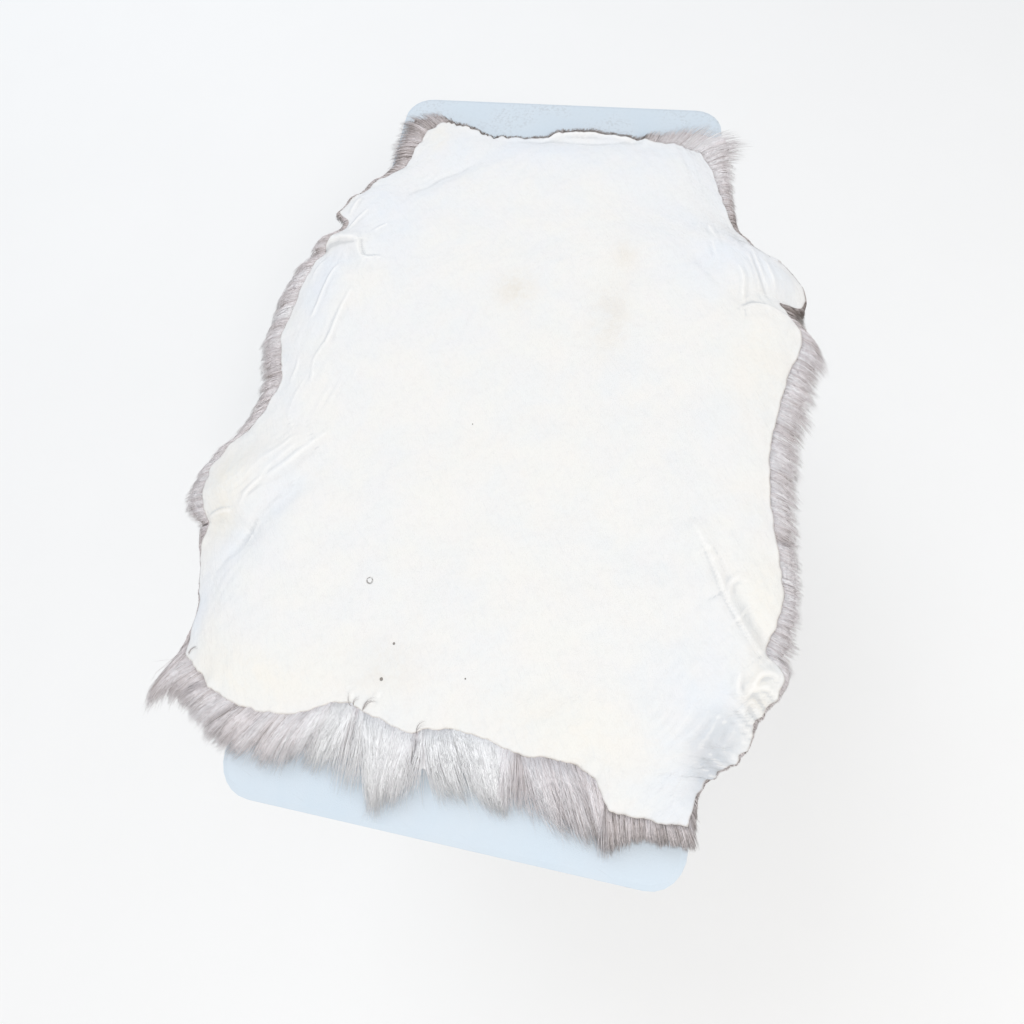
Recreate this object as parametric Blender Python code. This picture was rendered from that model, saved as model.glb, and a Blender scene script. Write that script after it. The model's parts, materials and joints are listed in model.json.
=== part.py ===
"""Reindeer hide laid flesh side up over a small folding table. Metres, +Z up, feet on Z = 0.

The table's length and the hide's backbone run along Y, with the hide's neck at +Y and its
rump at -Y. The hide is one solid: skin and hair together, down to the tips of the hair.
"""

import math

import bpy
import numpy as np
from mathutils import Vector

# Table
TOP_LENGTH = 1.220
TOP_WIDTH = 0.610
TOP_HEIGHT = 0.740
TOP_THICKNESS = 0.045
TOP_CORNER = 0.050
EDGE_ROUND = 0.010
RECESS_DEPTH = 0.016
RECESS_MARGIN = 0.030
RECESS_DRAFT = 0.006
RAIL_WIDTH = 0.022
RAIL_HEIGHT = 0.025
RAIL_LENGTH = 1.060
LEG_X = 0.225
LEG_Y = 0.460
LEG_RADIUS = 0.0125
CROSS_RADIUS = 0.011
PIVOT_DROP = 0.020
STRETCHER_HEIGHT = 0.300
BRACE_RADIUS = 0.008
BRACE_TOP_Y = 0.130
BRACKET_WIDTH = 0.036
BRACKET_LENGTH = 0.060
BRACKET_HEIGHT = 0.018
FOOT_RADIUS = 0.0165
FOOT_HEIGHT = 0.032
FOOT_SOLE = 0.006
FOOT_CHAMFER = 0.002

# Hide
PILE = 0.030
TIP_THICKNESS = 0.004
RIM_DIP = 0.18
RIM_REACH = 0.045
BEND_RADIUS = 0.280
EDGE_LIFT = 0.0022
LIFT_START = 0.200
LIFT_END = 0.285
SAG_REACH = 0.150
CELLS_ACROSS = 34
CELLS_ALONG = 42
HAIR_RINGS = (0.35, 0.70, 1.0)

# Touching pieces keep this gap.
GAP = 0.0003

# Side edges from the rump to the neck, a row for each lobe, notch or leg stump.
# along: place along the backbone; out: distance of the skin's edge from it; hair_out and
# hair_back: how far the hair tips reach beyond the skin, outwards and towards the rump;
# sag: how much lower than the plain bend the edge hangs.
SIDE_COLUMNS = ("along", "out", "hair_out", "hair_back", "sag")
LEFT_EDGE = (
    (-0.454, 0.396, 0.057, 0.081, 0.020),
    (-0.382, 0.408, 0.034, 0.050, 0.022),
    (-0.315, 0.442, 0.034, 0.026, 0.010),
    (-0.240, 0.474, 0.045, 0.030, -0.004),
    (-0.195, 0.492, 0.046, 0.034, -0.006),
    (-0.150, 0.470, 0.038, 0.026, 0.000),
    (-0.104, 0.410, 0.048, 0.028, 0.004),
    (-0.033, 0.378, 0.036, 0.020, 0.010),
    (0.044, 0.409, 0.036, 0.020, 0.016),
    (0.132, 0.406, 0.060, 0.018, 0.020),
    (0.195, 0.393, 0.050, 0.010, 0.020),
    (0.248, 0.356, 0.030, 0.004, 0.014),
    (0.278, 0.338, 0.020, 0.002, 0.010),
    (0.305, 0.366, 0.010, 0.000, 0.020),
    (0.330, 0.342, 0.014, 0.000, 0.020),
    (0.376, 0.300, 0.014, 0.000, 0.020),
    (0.409, 0.262, 0.024, 0.000, 0.010),
    (0.455, 0.250, 0.034, -0.006, 0.000),
    (0.499, 0.229, 0.050, -0.025, 0.000),
)
RIGHT_EDGE = (
    (-0.527, 0.296, 0.014, 0.034, 0.010),
    (-0.494, 0.304, 0.020, 0.012, 0.014),
    (-0.446, 0.353, 0.010, 0.008, 0.014),
    (-0.378, 0.391, 0.018, 0.004, 0.006),
    (-0.352, 0.408, 0.018, 0.004, 0.000),
    (-0.322, 0.384, 0.046, 0.010, 0.004),
    (-0.262, 0.409, 0.028, 0.012, 0.002),
    (-0.162, 0.392, 0.036, 0.012, -0.004),
    (-0.043, 0.386, 0.040, 0.024, -0.006),
    (0.017, 0.400, 0.042, 0.020, -0.008),
    (0.072, 0.414, 0.046, 0.024, -0.010),
    (0.168, 0.438, 0.038, 0.020, -0.006),
    (0.208, 0.412, 0.052, 0.020, 0.004),
    (0.236, 0.461, 0.010, 0.004, 0.016),
    (0.270, 0.431, 0.012, 0.000, 0.020),
    (0.290, 0.366, 0.020, 0.000, 0.014),
    (0.325, 0.324, 0.020, 0.000, 0.010),
    (0.375, 0.303, 0.020, 0.000, 0.004),
    (0.440, 0.283, 0.034, -0.008, 0.000),
    (0.477, 0.261, 0.079, -0.049, 0.000),
)
# End edges from left to right. across: place across the backbone; along: the skin's edge;
# hair_right and hair_out: how far the hair tips reach beyond it, sideways and endwards.
END_COLUMNS = ("across", "along", "hair_right", "hair_out")
RUMP_EDGE = (
    (-0.396, -0.454, -0.057, 0.081),
    (-0.342, -0.479, -0.024, 0.057),
    (-0.268, -0.499, -0.006, 0.048),
    (-0.207, -0.494, 0.000, 0.051),
    (-0.150, -0.474, 0.000, 0.072),
    (-0.085, -0.480, 0.000, 0.110),
    (-0.050, -0.487, 0.000, 0.100),
    (0.010, -0.473, 0.000, 0.100),
    (0.081, -0.488, 0.000, 0.087),
    (0.145, -0.485, 0.000, 0.090),
    (0.185, -0.499, 0.004, 0.075),
    (0.212, -0.527, 0.002, 0.046),
    (0.250, -0.528, 0.000, 0.036),
    (0.296, -0.527, 0.014, 0.034),
)
NECK_EDGE = (
    (-0.229, 0.499, -0.050, 0.025),
    (-0.192, 0.516, -0.018, 0.014),
    (-0.120, 0.497, 0.000, 0.009),
    (-0.034, 0.502, 0.000, 0.008),
    (0.060, 0.517, 0.000, 0.012),
    (0.147, 0.507, 0.004, 0.012),
    (0.200, 0.496, 0.020, 0.045),
    (0.238, 0.487, 0.046, 0.056),
    (0.261, 0.477, 0.079, 0.049),
)
# Main folds, each a soft ridge, or a trough where its height is negative, between two places.
FOLD_COLUMNS = ("x0", "y0", "x1", "y1", "width", "height")
FOLDS = (
    (-0.287, -0.125, -0.455, -0.235, 0.026, 0.010),
    (-0.266, -0.143, -0.345, -0.280, 0.022, -0.009),
    (-0.345, -0.280, -0.448, -0.262, 0.020, -0.010),
    (-0.395, 0.250, -0.290, 0.240, 0.020, 0.006),
    (-0.390, 0.218, -0.290, 0.200, 0.018, -0.007),
    (-0.087, 0.462, -0.250, 0.362, 0.024, -0.006),
    (0.345, 0.160, 0.455, 0.150, 0.026, 0.008),
    (0.343, 0.200, 0.440, 0.216, 0.022, -0.009),
    (0.343, 0.190, 0.225, 0.315, 0.020, -0.005),
    (0.277, -0.170, 0.318, -0.262, 0.024, 0.006),
    (0.318, -0.262, 0.372, -0.330, 0.022, 0.007),
    (0.302, -0.205, 0.352, -0.280, 0.018, -0.009),
    (0.352, -0.280, 0.395, -0.322, 0.018, -0.010),
    (0.352, -0.392, 0.384, -0.384, 0.016, -0.006),
    (0.333, -0.410, 0.300, -0.511, 0.024, -0.008),
    (-0.190, 0.505, 0.190, 0.495, 0.026, -0.008),
)

HIDE_COLOUR = (0.86, 0.84, 0.78)
PLASTIC_COLOUR = (0.78, 0.84, 0.88)
STEEL_COLOUR = (0.42, 0.44, 0.46)
RUBBER_COLOUR = (0.05, 0.05, 0.055)

RECESS_Z = TOP_HEIGHT - TOP_THICKNESS + RECESS_DEPTH
RAIL_TOP = RECESS_Z - GAP
LEG_TOP = RAIL_TOP - RAIL_HEIGHT - GAP
PIVOT_Z = LEG_TOP - PIVOT_DROP


def clear_scene():
    for item in list(bpy.data.objects):
        bpy.data.objects.remove(item, do_unlink=True)


def make_material(name, colour, roughness, metallic=0.0):
    material = bpy.data.materials.new(name)
    material.use_nodes = True
    shader = material.node_tree.nodes["Principled BSDF"]
    shader.inputs["Base Color"].default_value = (*colour, 1.0)
    shader.inputs["Roughness"].default_value = roughness
    shader.inputs["Metallic"].default_value = metallic
    return material


def add_object(name, vertices, faces, material, smooth=True):
    """One object from arrays of points and faces."""
    mesh = bpy.data.meshes.new(name)
    mesh.from_pydata([tuple(map(float, point)) for point in vertices], [], faces)
    if material:
        mesh.materials.append(material)
    if smooth:
        mesh.shade_smooth()
        mesh.set_sharp_from_angle(angle=math.radians(35))
    item = bpy.data.objects.new(name, mesh)
    bpy.context.collection.objects.link(item)
    return item


def loft(rings):
    """A closed skin over rings of equally many points, each ring capped at the two ends."""
    count = len(rings[0])
    faces = [tuple(reversed(range(count)))]
    for ring in range(len(rings) - 1):
        for i in range(count):
            j = (i + 1) % count
            low, high = ring * count, (ring + 1) * count
            faces.append((low + i, low + j, high + j, high + i))
    faces.append(tuple(range((len(rings) - 1) * count, len(rings) * count)))
    return [point for ring in rings for point in ring], faces


def rounded_rectangle(inset, z, steps=6):
    """The table top's outline, anticlockwise from above, drawn in by inset at height z."""
    radius = TOP_CORNER - inset
    half_x = TOP_WIDTH / 2 - TOP_CORNER
    half_y = TOP_LENGTH / 2 - TOP_CORNER
    points = []
    for corner, (sign_x, sign_y) in enumerate(((1, 1), (-1, 1), (-1, -1), (1, -1))):
        for step in range(steps + 1):
            angle = math.pi / 2 * (corner + step / steps)
            points.append((
                sign_x * half_x + radius * math.cos(angle),
                sign_y * half_y + radius * math.sin(angle),
                z,
            ))
    return points


def circle(radius, z, sides=16):
    angles = [2 * math.pi * i / sides for i in range(sides)]
    return [(radius * math.cos(a), radius * math.sin(a), z) for a in angles]


def make_table_top(material):
    """Moulded slab: rounded upper edge, and a shallow recess under it for the folded legs."""
    bottom = TOP_HEIGHT - TOP_THICKNESS
    middle = EDGE_ROUND * (1 - math.sqrt(0.5))
    rings = [
        rounded_rectangle(RECESS_MARGIN + RECESS_DRAFT, RECESS_Z),
        rounded_rectangle(RECESS_MARGIN, bottom),
        rounded_rectangle(EDGE_ROUND / 2, bottom),
        rounded_rectangle(0.0, bottom + EDGE_ROUND / 2),
        rounded_rectangle(0.0, TOP_HEIGHT - EDGE_ROUND),
        rounded_rectangle(middle, TOP_HEIGHT - middle),
        rounded_rectangle(EDGE_ROUND, TOP_HEIGHT),
    ]
    return add_object("table_top", *loft(rings), material)


def make_tube(name, start, end, radius, material):
    """A round bar between two points, with flat ends."""
    axis = Vector(end) - Vector(start)
    item = add_object(name, *loft([circle(radius, 0.0), circle(radius, axis.length)]), material)
    item.location = start
    item.rotation_mode = "QUATERNION"
    item.rotation_quaternion = axis.to_track_quat("Z", "Y")
    return item


def hide_cutter(item):
    item.hide_render = True
    item.display_type = "WIRE"
    return item


def cut(item, cutter):
    modifier = item.modifiers.new("Fit", "BOOLEAN")
    modifier.operation = "DIFFERENCE"
    modifier.solver = "EXACT"
    modifier.object = cutter


def make_foot(name, x, y, material):
    """Rubber cup round the foot of a leg, standing on a flat sole."""
    bore = LEG_RADIUS + GAP
    rings = [
        circle(FOOT_RADIUS - FOOT_CHAMFER, 0.0),
        circle(FOOT_RADIUS, FOOT_CHAMFER),
        circle(FOOT_RADIUS, FOOT_HEIGHT - FOOT_CHAMFER),
        circle(FOOT_RADIUS - FOOT_CHAMFER / 2, FOOT_HEIGHT),
        circle(bore, FOOT_HEIGHT),
        circle(bore, FOOT_SOLE),
    ]
    foot = add_object(name, *loft(rings), material)
    foot.location = (x, y, 0.0)
    return foot


def make_bar(name, x, y, top, size, material):
    """A straight-sided bar or block below a height, of a width, a length and a depth."""
    half, reach, depth = size[0] / 2, size[1] / 2, size[2]
    corners = ((-half, -depth), (half, -depth), (half, 0.0), (-half, 0.0))
    rings = [[(px, py, pz) for px, pz in corners] for py in (reach, -reach)]
    bar = add_object(name, *loft(rings), material, smooth=False)
    bar.location = (x, y, top)
    return bar


def make_leg_set(end, side, steel, rubber):
    """Two legs with their pivot tube, stretcher and brace at one end of the table."""
    y = side * LEG_Y
    leg_cutters = []
    for hand, x in (("left", -LEG_X), ("right", LEG_X)):
        make_tube(f"leg_{end}_{hand}", (x, y, FOOT_SOLE + GAP), (x, y, LEG_TOP), LEG_RADIUS, steel)
        make_foot(f"foot_{end}_{hand}", x, y, rubber)
        leg_cutters.append(hide_cutter(make_tube(
            f"cutter_leg_{end}_{hand}", (x, y, 0.0), (x, y, TOP_HEIGHT), LEG_RADIUS + GAP, None)))
    for name, z in (("pivot", PIVOT_Z), ("stretcher", STRETCHER_HEIGHT)):
        bar = make_tube(f"{name}_{end}", (-LEG_X, y, z), (LEG_X, y, z), CROSS_RADIUS, steel)
        for cutter in leg_cutters:
            cut(bar, cutter)
    stretcher_cutter = hide_cutter(make_tube(
        f"cutter_stretcher_{end}", (-LEG_X, y, STRETCHER_HEIGHT), (LEG_X, y, STRETCHER_HEIGHT),
        CROSS_RADIUS + GAP, None))
    top_y = side * BRACE_TOP_Y
    brace = make_tube(
        f"brace_{end}", (0.0, y, STRETCHER_HEIGHT), (0.0, top_y, RAIL_TOP), BRACE_RADIUS, steel)
    cut(brace, stretcher_cutter)
    size = (BRACKET_WIDTH, BRACKET_LENGTH, BRACKET_HEIGHT)
    make_bar(f"bracket_{end}", 0.0, top_y, RAIL_TOP, size, steel)
    depth = TOP_HEIGHT - RAIL_TOP + BRACKET_HEIGHT + GAP
    cut(brace, hide_cutter(make_bar(
        f"cutter_bracket_{end}", 0.0, top_y, TOP_HEIGHT,
        (BRACKET_WIDTH + 2 * GAP, BRACKET_LENGTH + 2 * GAP, depth), None)))


def table_columns(names, rows):
    """The named columns of a table of rows."""
    return dict(zip(names, np.array(rows).T))


def smooth_line(points, count):
    """Rows of points resampled at count places along a smooth curve through them.

    The curve is a cubic between each two rows, with slopes from the rows on either side, and
    the places are evenly spaced along the first two columns.
    """
    lengths = np.linalg.norm(np.diff(points[:, :2], axis=0), axis=1)
    place = np.concatenate(([0.0], np.cumsum(lengths)))
    slopes = np.gradient(points, place, axis=0)
    wanted = np.linspace(0.0, place[-1], count)
    row = np.clip(np.searchsorted(place, wanted, side="right") - 1, 0, len(place) - 2)
    span = (place[row + 1] - place[row])[:, None]
    f = (wanted - place[row])[:, None] / span
    return (
        (2 * f**3 - 3 * f**2 + 1) * points[row]
        + (f**3 - 2 * f**2 + f) * span * slopes[row]
        + (3 * f**2 - 2 * f**3) * points[row + 1]
        + (f**3 - f**2) * span * slopes[row + 1]
    )


def side_line(rows, sign, count):
    """A side's skin edge and hair tips: x, y, tip x and tip y at each place."""
    c = table_columns(SIDE_COLUMNS, rows)
    tip_x, tip_y = c["out"] + c["hair_out"], c["along"] - c["hair_back"]
    line = np.stack([sign * c["out"], c["along"], sign * tip_x, tip_y], axis=1)
    return smooth_line(line, count)


def end_line(rows, sign, count):
    """An end's skin edge and hair tips: x, y, tip x and tip y at each place."""
    c = table_columns(END_COLUMNS, rows)
    tip_x, tip_y = c["across"] + c["hair_right"], c["along"] + sign * c["hair_out"]
    return smooth_line(np.stack([c["across"], c["along"], tip_x, tip_y], axis=1), count)


def smooth_step(value, low, high):
    f = np.clip((value - low) / (high - low), 0.0, 1.0)
    return f * f * (3 - 2 * f)


def sag_at(x, y):
    """How much lower than the plain bend the hide hangs, from the sag columns."""
    left = table_columns(SIDE_COLUMNS, LEFT_EDGE)
    right = table_columns(SIDE_COLUMNS, RIGHT_EDGE)
    rows = np.where(
        x < 0,
        np.interp(y, left["along"], left["sag"]),
        np.interp(y, right["along"], right["sag"]),
    )
    reach = np.clip((np.abs(x) - TOP_WIDTH / 2) / SAG_REACH, 0.0, 1.5)
    return rows * reach**2


def relief(x, y):
    """Sum of the folds: each has a bell-shaped section and fades towards its two ends."""
    height = np.zeros_like(x)
    for x0, y0, x1, y1, width, rise in FOLDS:
        dx, dy = x1 - x0, y1 - y0
        length = math.hypot(dx, dy)
        along = ((x - x0) * dx + (y - y0) * dy) / length**2
        nearest = np.clip(along, 0.0, 1.0)
        gap = np.hypot(x - x0 - nearest * dx, y - y0 - nearest * dy)
        fade = np.cos(np.pi * (np.clip(along, 0.0, 1.0) - 0.5)) ** 0.5
        height += rise * (0.35 + 0.65 * fade) * np.exp(-((gap / width) ** 2))
    return height


def bed(x, y):
    """Height that the underside of the hair lies at: flat on the table, bent down beside it."""
    lift = EDGE_LIFT * smooth_step(np.abs(x), LIFT_START, LIFT_END)
    beyond = np.maximum(np.abs(x) - TOP_WIDTH / 2 + EDGE_ROUND / 2, 0.0)
    bend = BEND_RADIUS * (np.sqrt(1 + (beyond / BEND_RADIUS) ** 2) - 1)
    return TOP_HEIGHT + GAP + lift - bend - sag_at(x, y)


def hide_surfaces():
    """Plan points, upper heights and lower heights of the skin's grid and of the hair's rings."""
    left = side_line(LEFT_EDGE, -1, CELLS_ALONG + 1)
    right = side_line(RIGHT_EDGE, 1, CELLS_ALONG + 1)
    rump = end_line(RUMP_EDGE, -1, CELLS_ACROSS + 1)
    neck = end_line(NECK_EDGE, 1, CELLS_ACROSS + 1)
    u = np.linspace(0.0, 1.0, CELLS_ACROSS + 1)[None, :, None]
    v = np.linspace(0.0, 1.0, CELLS_ALONG + 1)[:, None, None]
    # The four edges blended across the grid, less the blend of the four corners.
    grid = (
        (1 - v) * rump[None] + v * neck[None] + (1 - u) * left[:, None] + u * right[:, None]
        - (1 - u) * (1 - v) * rump[0] - u * (1 - v) * rump[-1]
        - (1 - u) * v * neck[0] - u * v * neck[-1]
    )
    around = np.concatenate([rump[:-1], right[:-1], neck[:0:-1], left[:0:-1]])
    skin = grid[..., :2].reshape(-1, 2)
    to_rim = np.linalg.norm(skin[:, None] - around[None, :, :2], axis=2).min(axis=1)
    thickness = PILE * (1 - RIM_DIP * np.exp(-to_rim / RIM_REACH))
    plan = [skin]
    thick = [thickness]
    for f in HAIR_RINGS:
        plan.append(around[:, :2] * (1 - f) + around[:, 2:] * f)
        shoulder = math.sqrt(1 - f**2)
        edge = PILE * (1 - RIM_DIP)
        thick.append(np.full(len(around), TIP_THICKNESS + (edge - TIP_THICKNESS) * shoulder))
    plan, thick = np.concatenate(plan), np.concatenate(thick)
    x, y = plan.T
    low = bed(x, y)
    folds = relief(x, y)
    free = smooth_step(np.abs(x), TOP_WIDTH / 2, TOP_WIDTH / 2 + PILE)
    fade = np.clip(thick / PILE, 0.0, 1.0)
    return plan, low + thick + folds * fade, low + folds * fade * free


def make_hide(material):
    """The hide as one solid: an upper and a lower sheet over the same plan, closed at the tips."""
    plan, high, low = hide_surfaces()
    columns, rows = CELLS_ACROSS + 1, CELLS_ALONG + 1
    index = np.arange(columns * rows).reshape(rows, columns)
    around = np.concatenate([
        index[0, :-1], index[:-1, -1], index[-1, :0:-1], index[:0:-1, 0]])
    quads = [
        (index[j, i], index[j, i + 1], index[j + 1, i + 1], index[j + 1, i])
        for j in range(rows - 1) for i in range(columns - 1)
    ]
    inner, start = around, columns * rows
    for _ in HAIR_RINGS:
        outer = start + np.arange(len(around))
        after_inner, after_outer = np.roll(inner, -1), np.roll(outer, -1)
        quads += list(zip(inner, outer, after_outer, after_inner))
        inner, start = outer, start + len(around)
    total = len(plan)
    faces = [tuple(int(i) for i in quad) for quad in quads]
    faces += [tuple(int(i) + total for i in reversed(quad)) for quad in quads]
    after = np.roll(inner, -1)
    faces += [
        (int(i), int(i) + total, int(j) + total, int(j)) for i, j in zip(inner, after)
    ]
    upper = np.column_stack([plan, high])
    lower = np.column_stack([plan, low])
    return add_object("hide", np.concatenate([upper, lower]), faces, material)


def stand_on_middle():
    """Moves everything sideways so that the origin is under the middle of the whole."""
    bpy.context.view_layer.update()
    solids = [item for item in bpy.data.objects if not item.hide_render]
    corners = np.array([
        item.matrix_world @ vertex.co for item in solids for vertex in item.data.vertices])
    middle = (corners.min(axis=0) + corners.max(axis=0)) / 2
    for item in bpy.data.objects:
        item.location.x -= float(middle[0])
        item.location.y -= float(middle[1])


def main():
    clear_scene()
    hide = make_material("hide_skin", HIDE_COLOUR, 0.75)
    plastic = make_material("moulded_plastic", PLASTIC_COLOUR, 0.45)
    steel = make_material("painted_steel", STEEL_COLOUR, 0.40, metallic=0.6)
    rubber = make_material("rubber", RUBBER_COLOUR, 0.80)
    make_hide(hide)
    make_table_top(plastic)
    rail_size = (RAIL_WIDTH, RAIL_LENGTH, RAIL_HEIGHT)
    make_bar("rail_left", -LEG_X, 0.0, RAIL_TOP, rail_size, steel)
    make_bar("rail_right", LEG_X, 0.0, RAIL_TOP, rail_size, steel)
    make_leg_set("near", -1, steel, rubber)
    make_leg_set("far", 1, steel, rubber)
    stand_on_middle()


main()
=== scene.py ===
"""Looks of a reindeer hide laid flesh side up over a small folding table.

The file is laid out as a Blender add-on: groups of settings, an operator for each piece and
one for the stage, and a panel that lists them. Run as a script, it calls the operators in
order. All places are in metres, on the packed model's own frame. Plan places of the hide are
measured from the middle of the table top, x across and y towards the hide's neck.
"""

import json
import math

import bpy
import numpy as np
from bpy.props import FloatProperty, FloatVectorProperty, IntProperty, PointerProperty
from mathutils import Matrix, Vector


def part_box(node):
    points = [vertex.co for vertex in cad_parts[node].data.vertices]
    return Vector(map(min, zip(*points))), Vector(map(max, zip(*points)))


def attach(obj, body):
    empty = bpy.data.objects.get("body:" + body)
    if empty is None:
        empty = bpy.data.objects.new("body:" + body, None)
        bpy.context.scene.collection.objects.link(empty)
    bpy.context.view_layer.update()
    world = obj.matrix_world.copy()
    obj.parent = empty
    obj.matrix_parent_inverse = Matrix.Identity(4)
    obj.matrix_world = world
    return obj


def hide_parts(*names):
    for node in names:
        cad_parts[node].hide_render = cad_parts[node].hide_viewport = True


bl_info = {
    "name": "Reindeer Hide On A Folding Table",
    "version": (1, 0, 0),
    "blender": (4, 5, 0),
    "location": "3D View > Sidebar > Hide",
    "description": "Leather, hair and table finishes of a draped reindeer hide",
    "category": "Object",
}

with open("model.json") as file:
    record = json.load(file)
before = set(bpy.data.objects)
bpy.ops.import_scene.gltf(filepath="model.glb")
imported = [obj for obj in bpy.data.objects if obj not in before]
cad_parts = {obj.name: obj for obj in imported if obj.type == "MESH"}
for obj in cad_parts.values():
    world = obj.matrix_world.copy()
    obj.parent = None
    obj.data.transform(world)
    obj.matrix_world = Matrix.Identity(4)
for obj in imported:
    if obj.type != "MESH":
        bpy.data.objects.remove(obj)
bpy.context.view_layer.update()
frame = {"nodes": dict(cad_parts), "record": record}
TABLE_LOW, TABLE_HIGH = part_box("table_top")
MIDDLE_X = (TABLE_LOW.x + TABLE_HIGH.x) / 2
MIDDLE_Y = (TABLE_LOW.y + TABLE_HIGH.y) / 2
HALF_WIDTH = (TABLE_HIGH.x - TABLE_LOW.x) / 2
TOP_HEIGHT = TABLE_HIGH.z

# The hide's bed and thickness, as the construction has them.
PILE = 0.030
TIP_THICKNESS = 0.004
RIM_DIP = 0.18
RIM_REACH = 0.045
BEND_RADIUS = 0.280
EDGE_ROUND = 0.010
EDGE_LIFT = 0.0022
LIFT_START = 0.200
LIFT_END = 0.285
SAG_REACH = 0.150
SAG_MOST = 1.5
GAP = 0.0003

# Where the skin's grid is closer: middle and width as shares of it, and how much denser.
COLUMN_CROWDS = ((0.09, 0.10, 2.8), (0.91, 0.10, 2.8))
ROW_CROWDS = ((0.0, 0.04, 0.8), (0.19, 0.10, 1.0), (0.71, 0.08, 1.2), (1.0, 0.05, 1.2))
# Cells of each edge's fine line, the share of an edge that is averaged for the inner grid, how
# widely within it, and how far in the edge's own detail reaches.
EDGE_CELLS = 600
CALM_SHARE = 0.10
CALM_SPREAD = 0.45
CALM_FADE = 0.14

# Broad and small unevenness of the leather, and the curl of its rim: longest and shortest
# wave, and the draw of the waves.
BROAD_WAVES = (0.20, 0.07, 5)
SMALL_WAVES = (0.045, 0.018, 6)
RIM_WAVES = (0.060, 0.022, 7)
SMALL_SHARE = 0.35
CURL_REACH = 0.010

# Side edges from the rump to the neck, a row for each lobe, notch or leg stump. Columns: place
# along the backbone; distance of the skin's edge from it; how far the hair tips reach beyond
# the skin, outwards and towards the rump; how much lower than the plain bend the edge hangs;
# lightness of the hair.
LEFT_EDGE = (
    (-0.454, 0.396, 0.092, 0.106, 0.020, 0.78),
    (-0.440, 0.399, 0.034, 0.044, 0.020, 0.68),
    (-0.424, 0.401, 0.010, 0.014, 0.021, 0.62),
    (-0.382, 0.408, 0.007, 0.006, 0.022, 0.58),
    (-0.315, 0.434, 0.007, 0.004, 0.010, 0.58),
    (-0.272, 0.440, 0.034, 0.012, 0.004, 0.70),
    (-0.252, 0.450, 0.054, 0.010, -0.002, 0.82),
    (-0.225, 0.462, 0.050, 0.014, -0.005, 0.84),
    (-0.190, 0.468, 0.040, 0.014, -0.004, 0.84),
    (-0.150, 0.450, 0.036, 0.014, 0.000, 0.82),
    (-0.104, 0.404, 0.042, 0.022, 0.004, 0.80),
    (-0.033, 0.378, 0.050, 0.018, 0.010, 0.80),
    (0.044, 0.409, 0.062, 0.010, 0.016, 0.84),
    (0.132, 0.406, 0.080, 0.006, 0.020, 0.84),
    (0.195, 0.393, 0.066, 0.002, 0.020, 0.80),
    (0.248, 0.356, 0.034, 0.002, 0.014, 0.66),
    (0.278, 0.338, 0.018, 0.002, 0.010, 0.58),
    (0.305, 0.366, 0.012, 0.000, 0.020, 0.56),
    (0.330, 0.342, 0.014, 0.000, 0.020, 0.56),
    (0.376, 0.300, 0.018, 0.000, 0.020, 0.58),
    (0.409, 0.262, 0.032, 0.000, 0.010, 0.60),
    (0.455, 0.250, 0.050, 0.004, 0.000, 0.66),
    (0.499, 0.236, 0.066, -0.034, 0.000, 0.68),
)
RIGHT_EDGE = (
    (-0.527, 0.296, 0.014, 0.030, 0.010, 0.50),
    (-0.494, 0.304, 0.006, 0.006, 0.014, 0.54),
    (-0.446, 0.353, 0.005, 0.004, 0.014, 0.54),
    (-0.392, 0.384, 0.006, 0.004, 0.008, 0.56),
    (-0.366, 0.404, 0.008, 0.006, 0.004, 0.66),
    (-0.344, 0.408, 0.014, 0.010, 0.000, 0.78),
    (-0.322, 0.386, 0.046, 0.020, 0.004, 0.86),
    (-0.290, 0.398, 0.040, 0.012, 0.003, 0.86),
    (-0.254, 0.409, 0.036, 0.006, 0.002, 0.86),
    (-0.200, 0.402, 0.040, 0.008, 0.000, 0.86),
    (-0.162, 0.394, 0.044, 0.010, -0.004, 0.84),
    (-0.043, 0.388, 0.056, 0.020, -0.006, 0.84),
    (0.017, 0.400, 0.056, 0.018, -0.008, 0.84),
    (0.072, 0.414, 0.056, 0.018, -0.010, 0.84),
    (0.140, 0.434, 0.046, 0.016, -0.008, 0.80),
    (0.170, 0.420, 0.030, 0.010, -0.002, 0.60),
    (0.203, 0.404, 0.050, 0.020, 0.004, 0.36),
    (0.212, 0.446, 0.008, 0.010, 0.014, 0.40),
    (0.236, 0.455, 0.008, 0.002, 0.017, 0.46),
    (0.270, 0.431, 0.008, 0.000, 0.020, 0.46),
    (0.290, 0.366, 0.012, 0.000, 0.014, 0.48),
    (0.325, 0.324, 0.014, 0.000, 0.010, 0.50),
    (0.375, 0.303, 0.026, 0.000, 0.004, 0.74),
    (0.440, 0.283, 0.044, -0.016, 0.000, 0.84),
    (0.477, 0.261, 0.086, -0.052, 0.000, 0.88),
)
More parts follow.
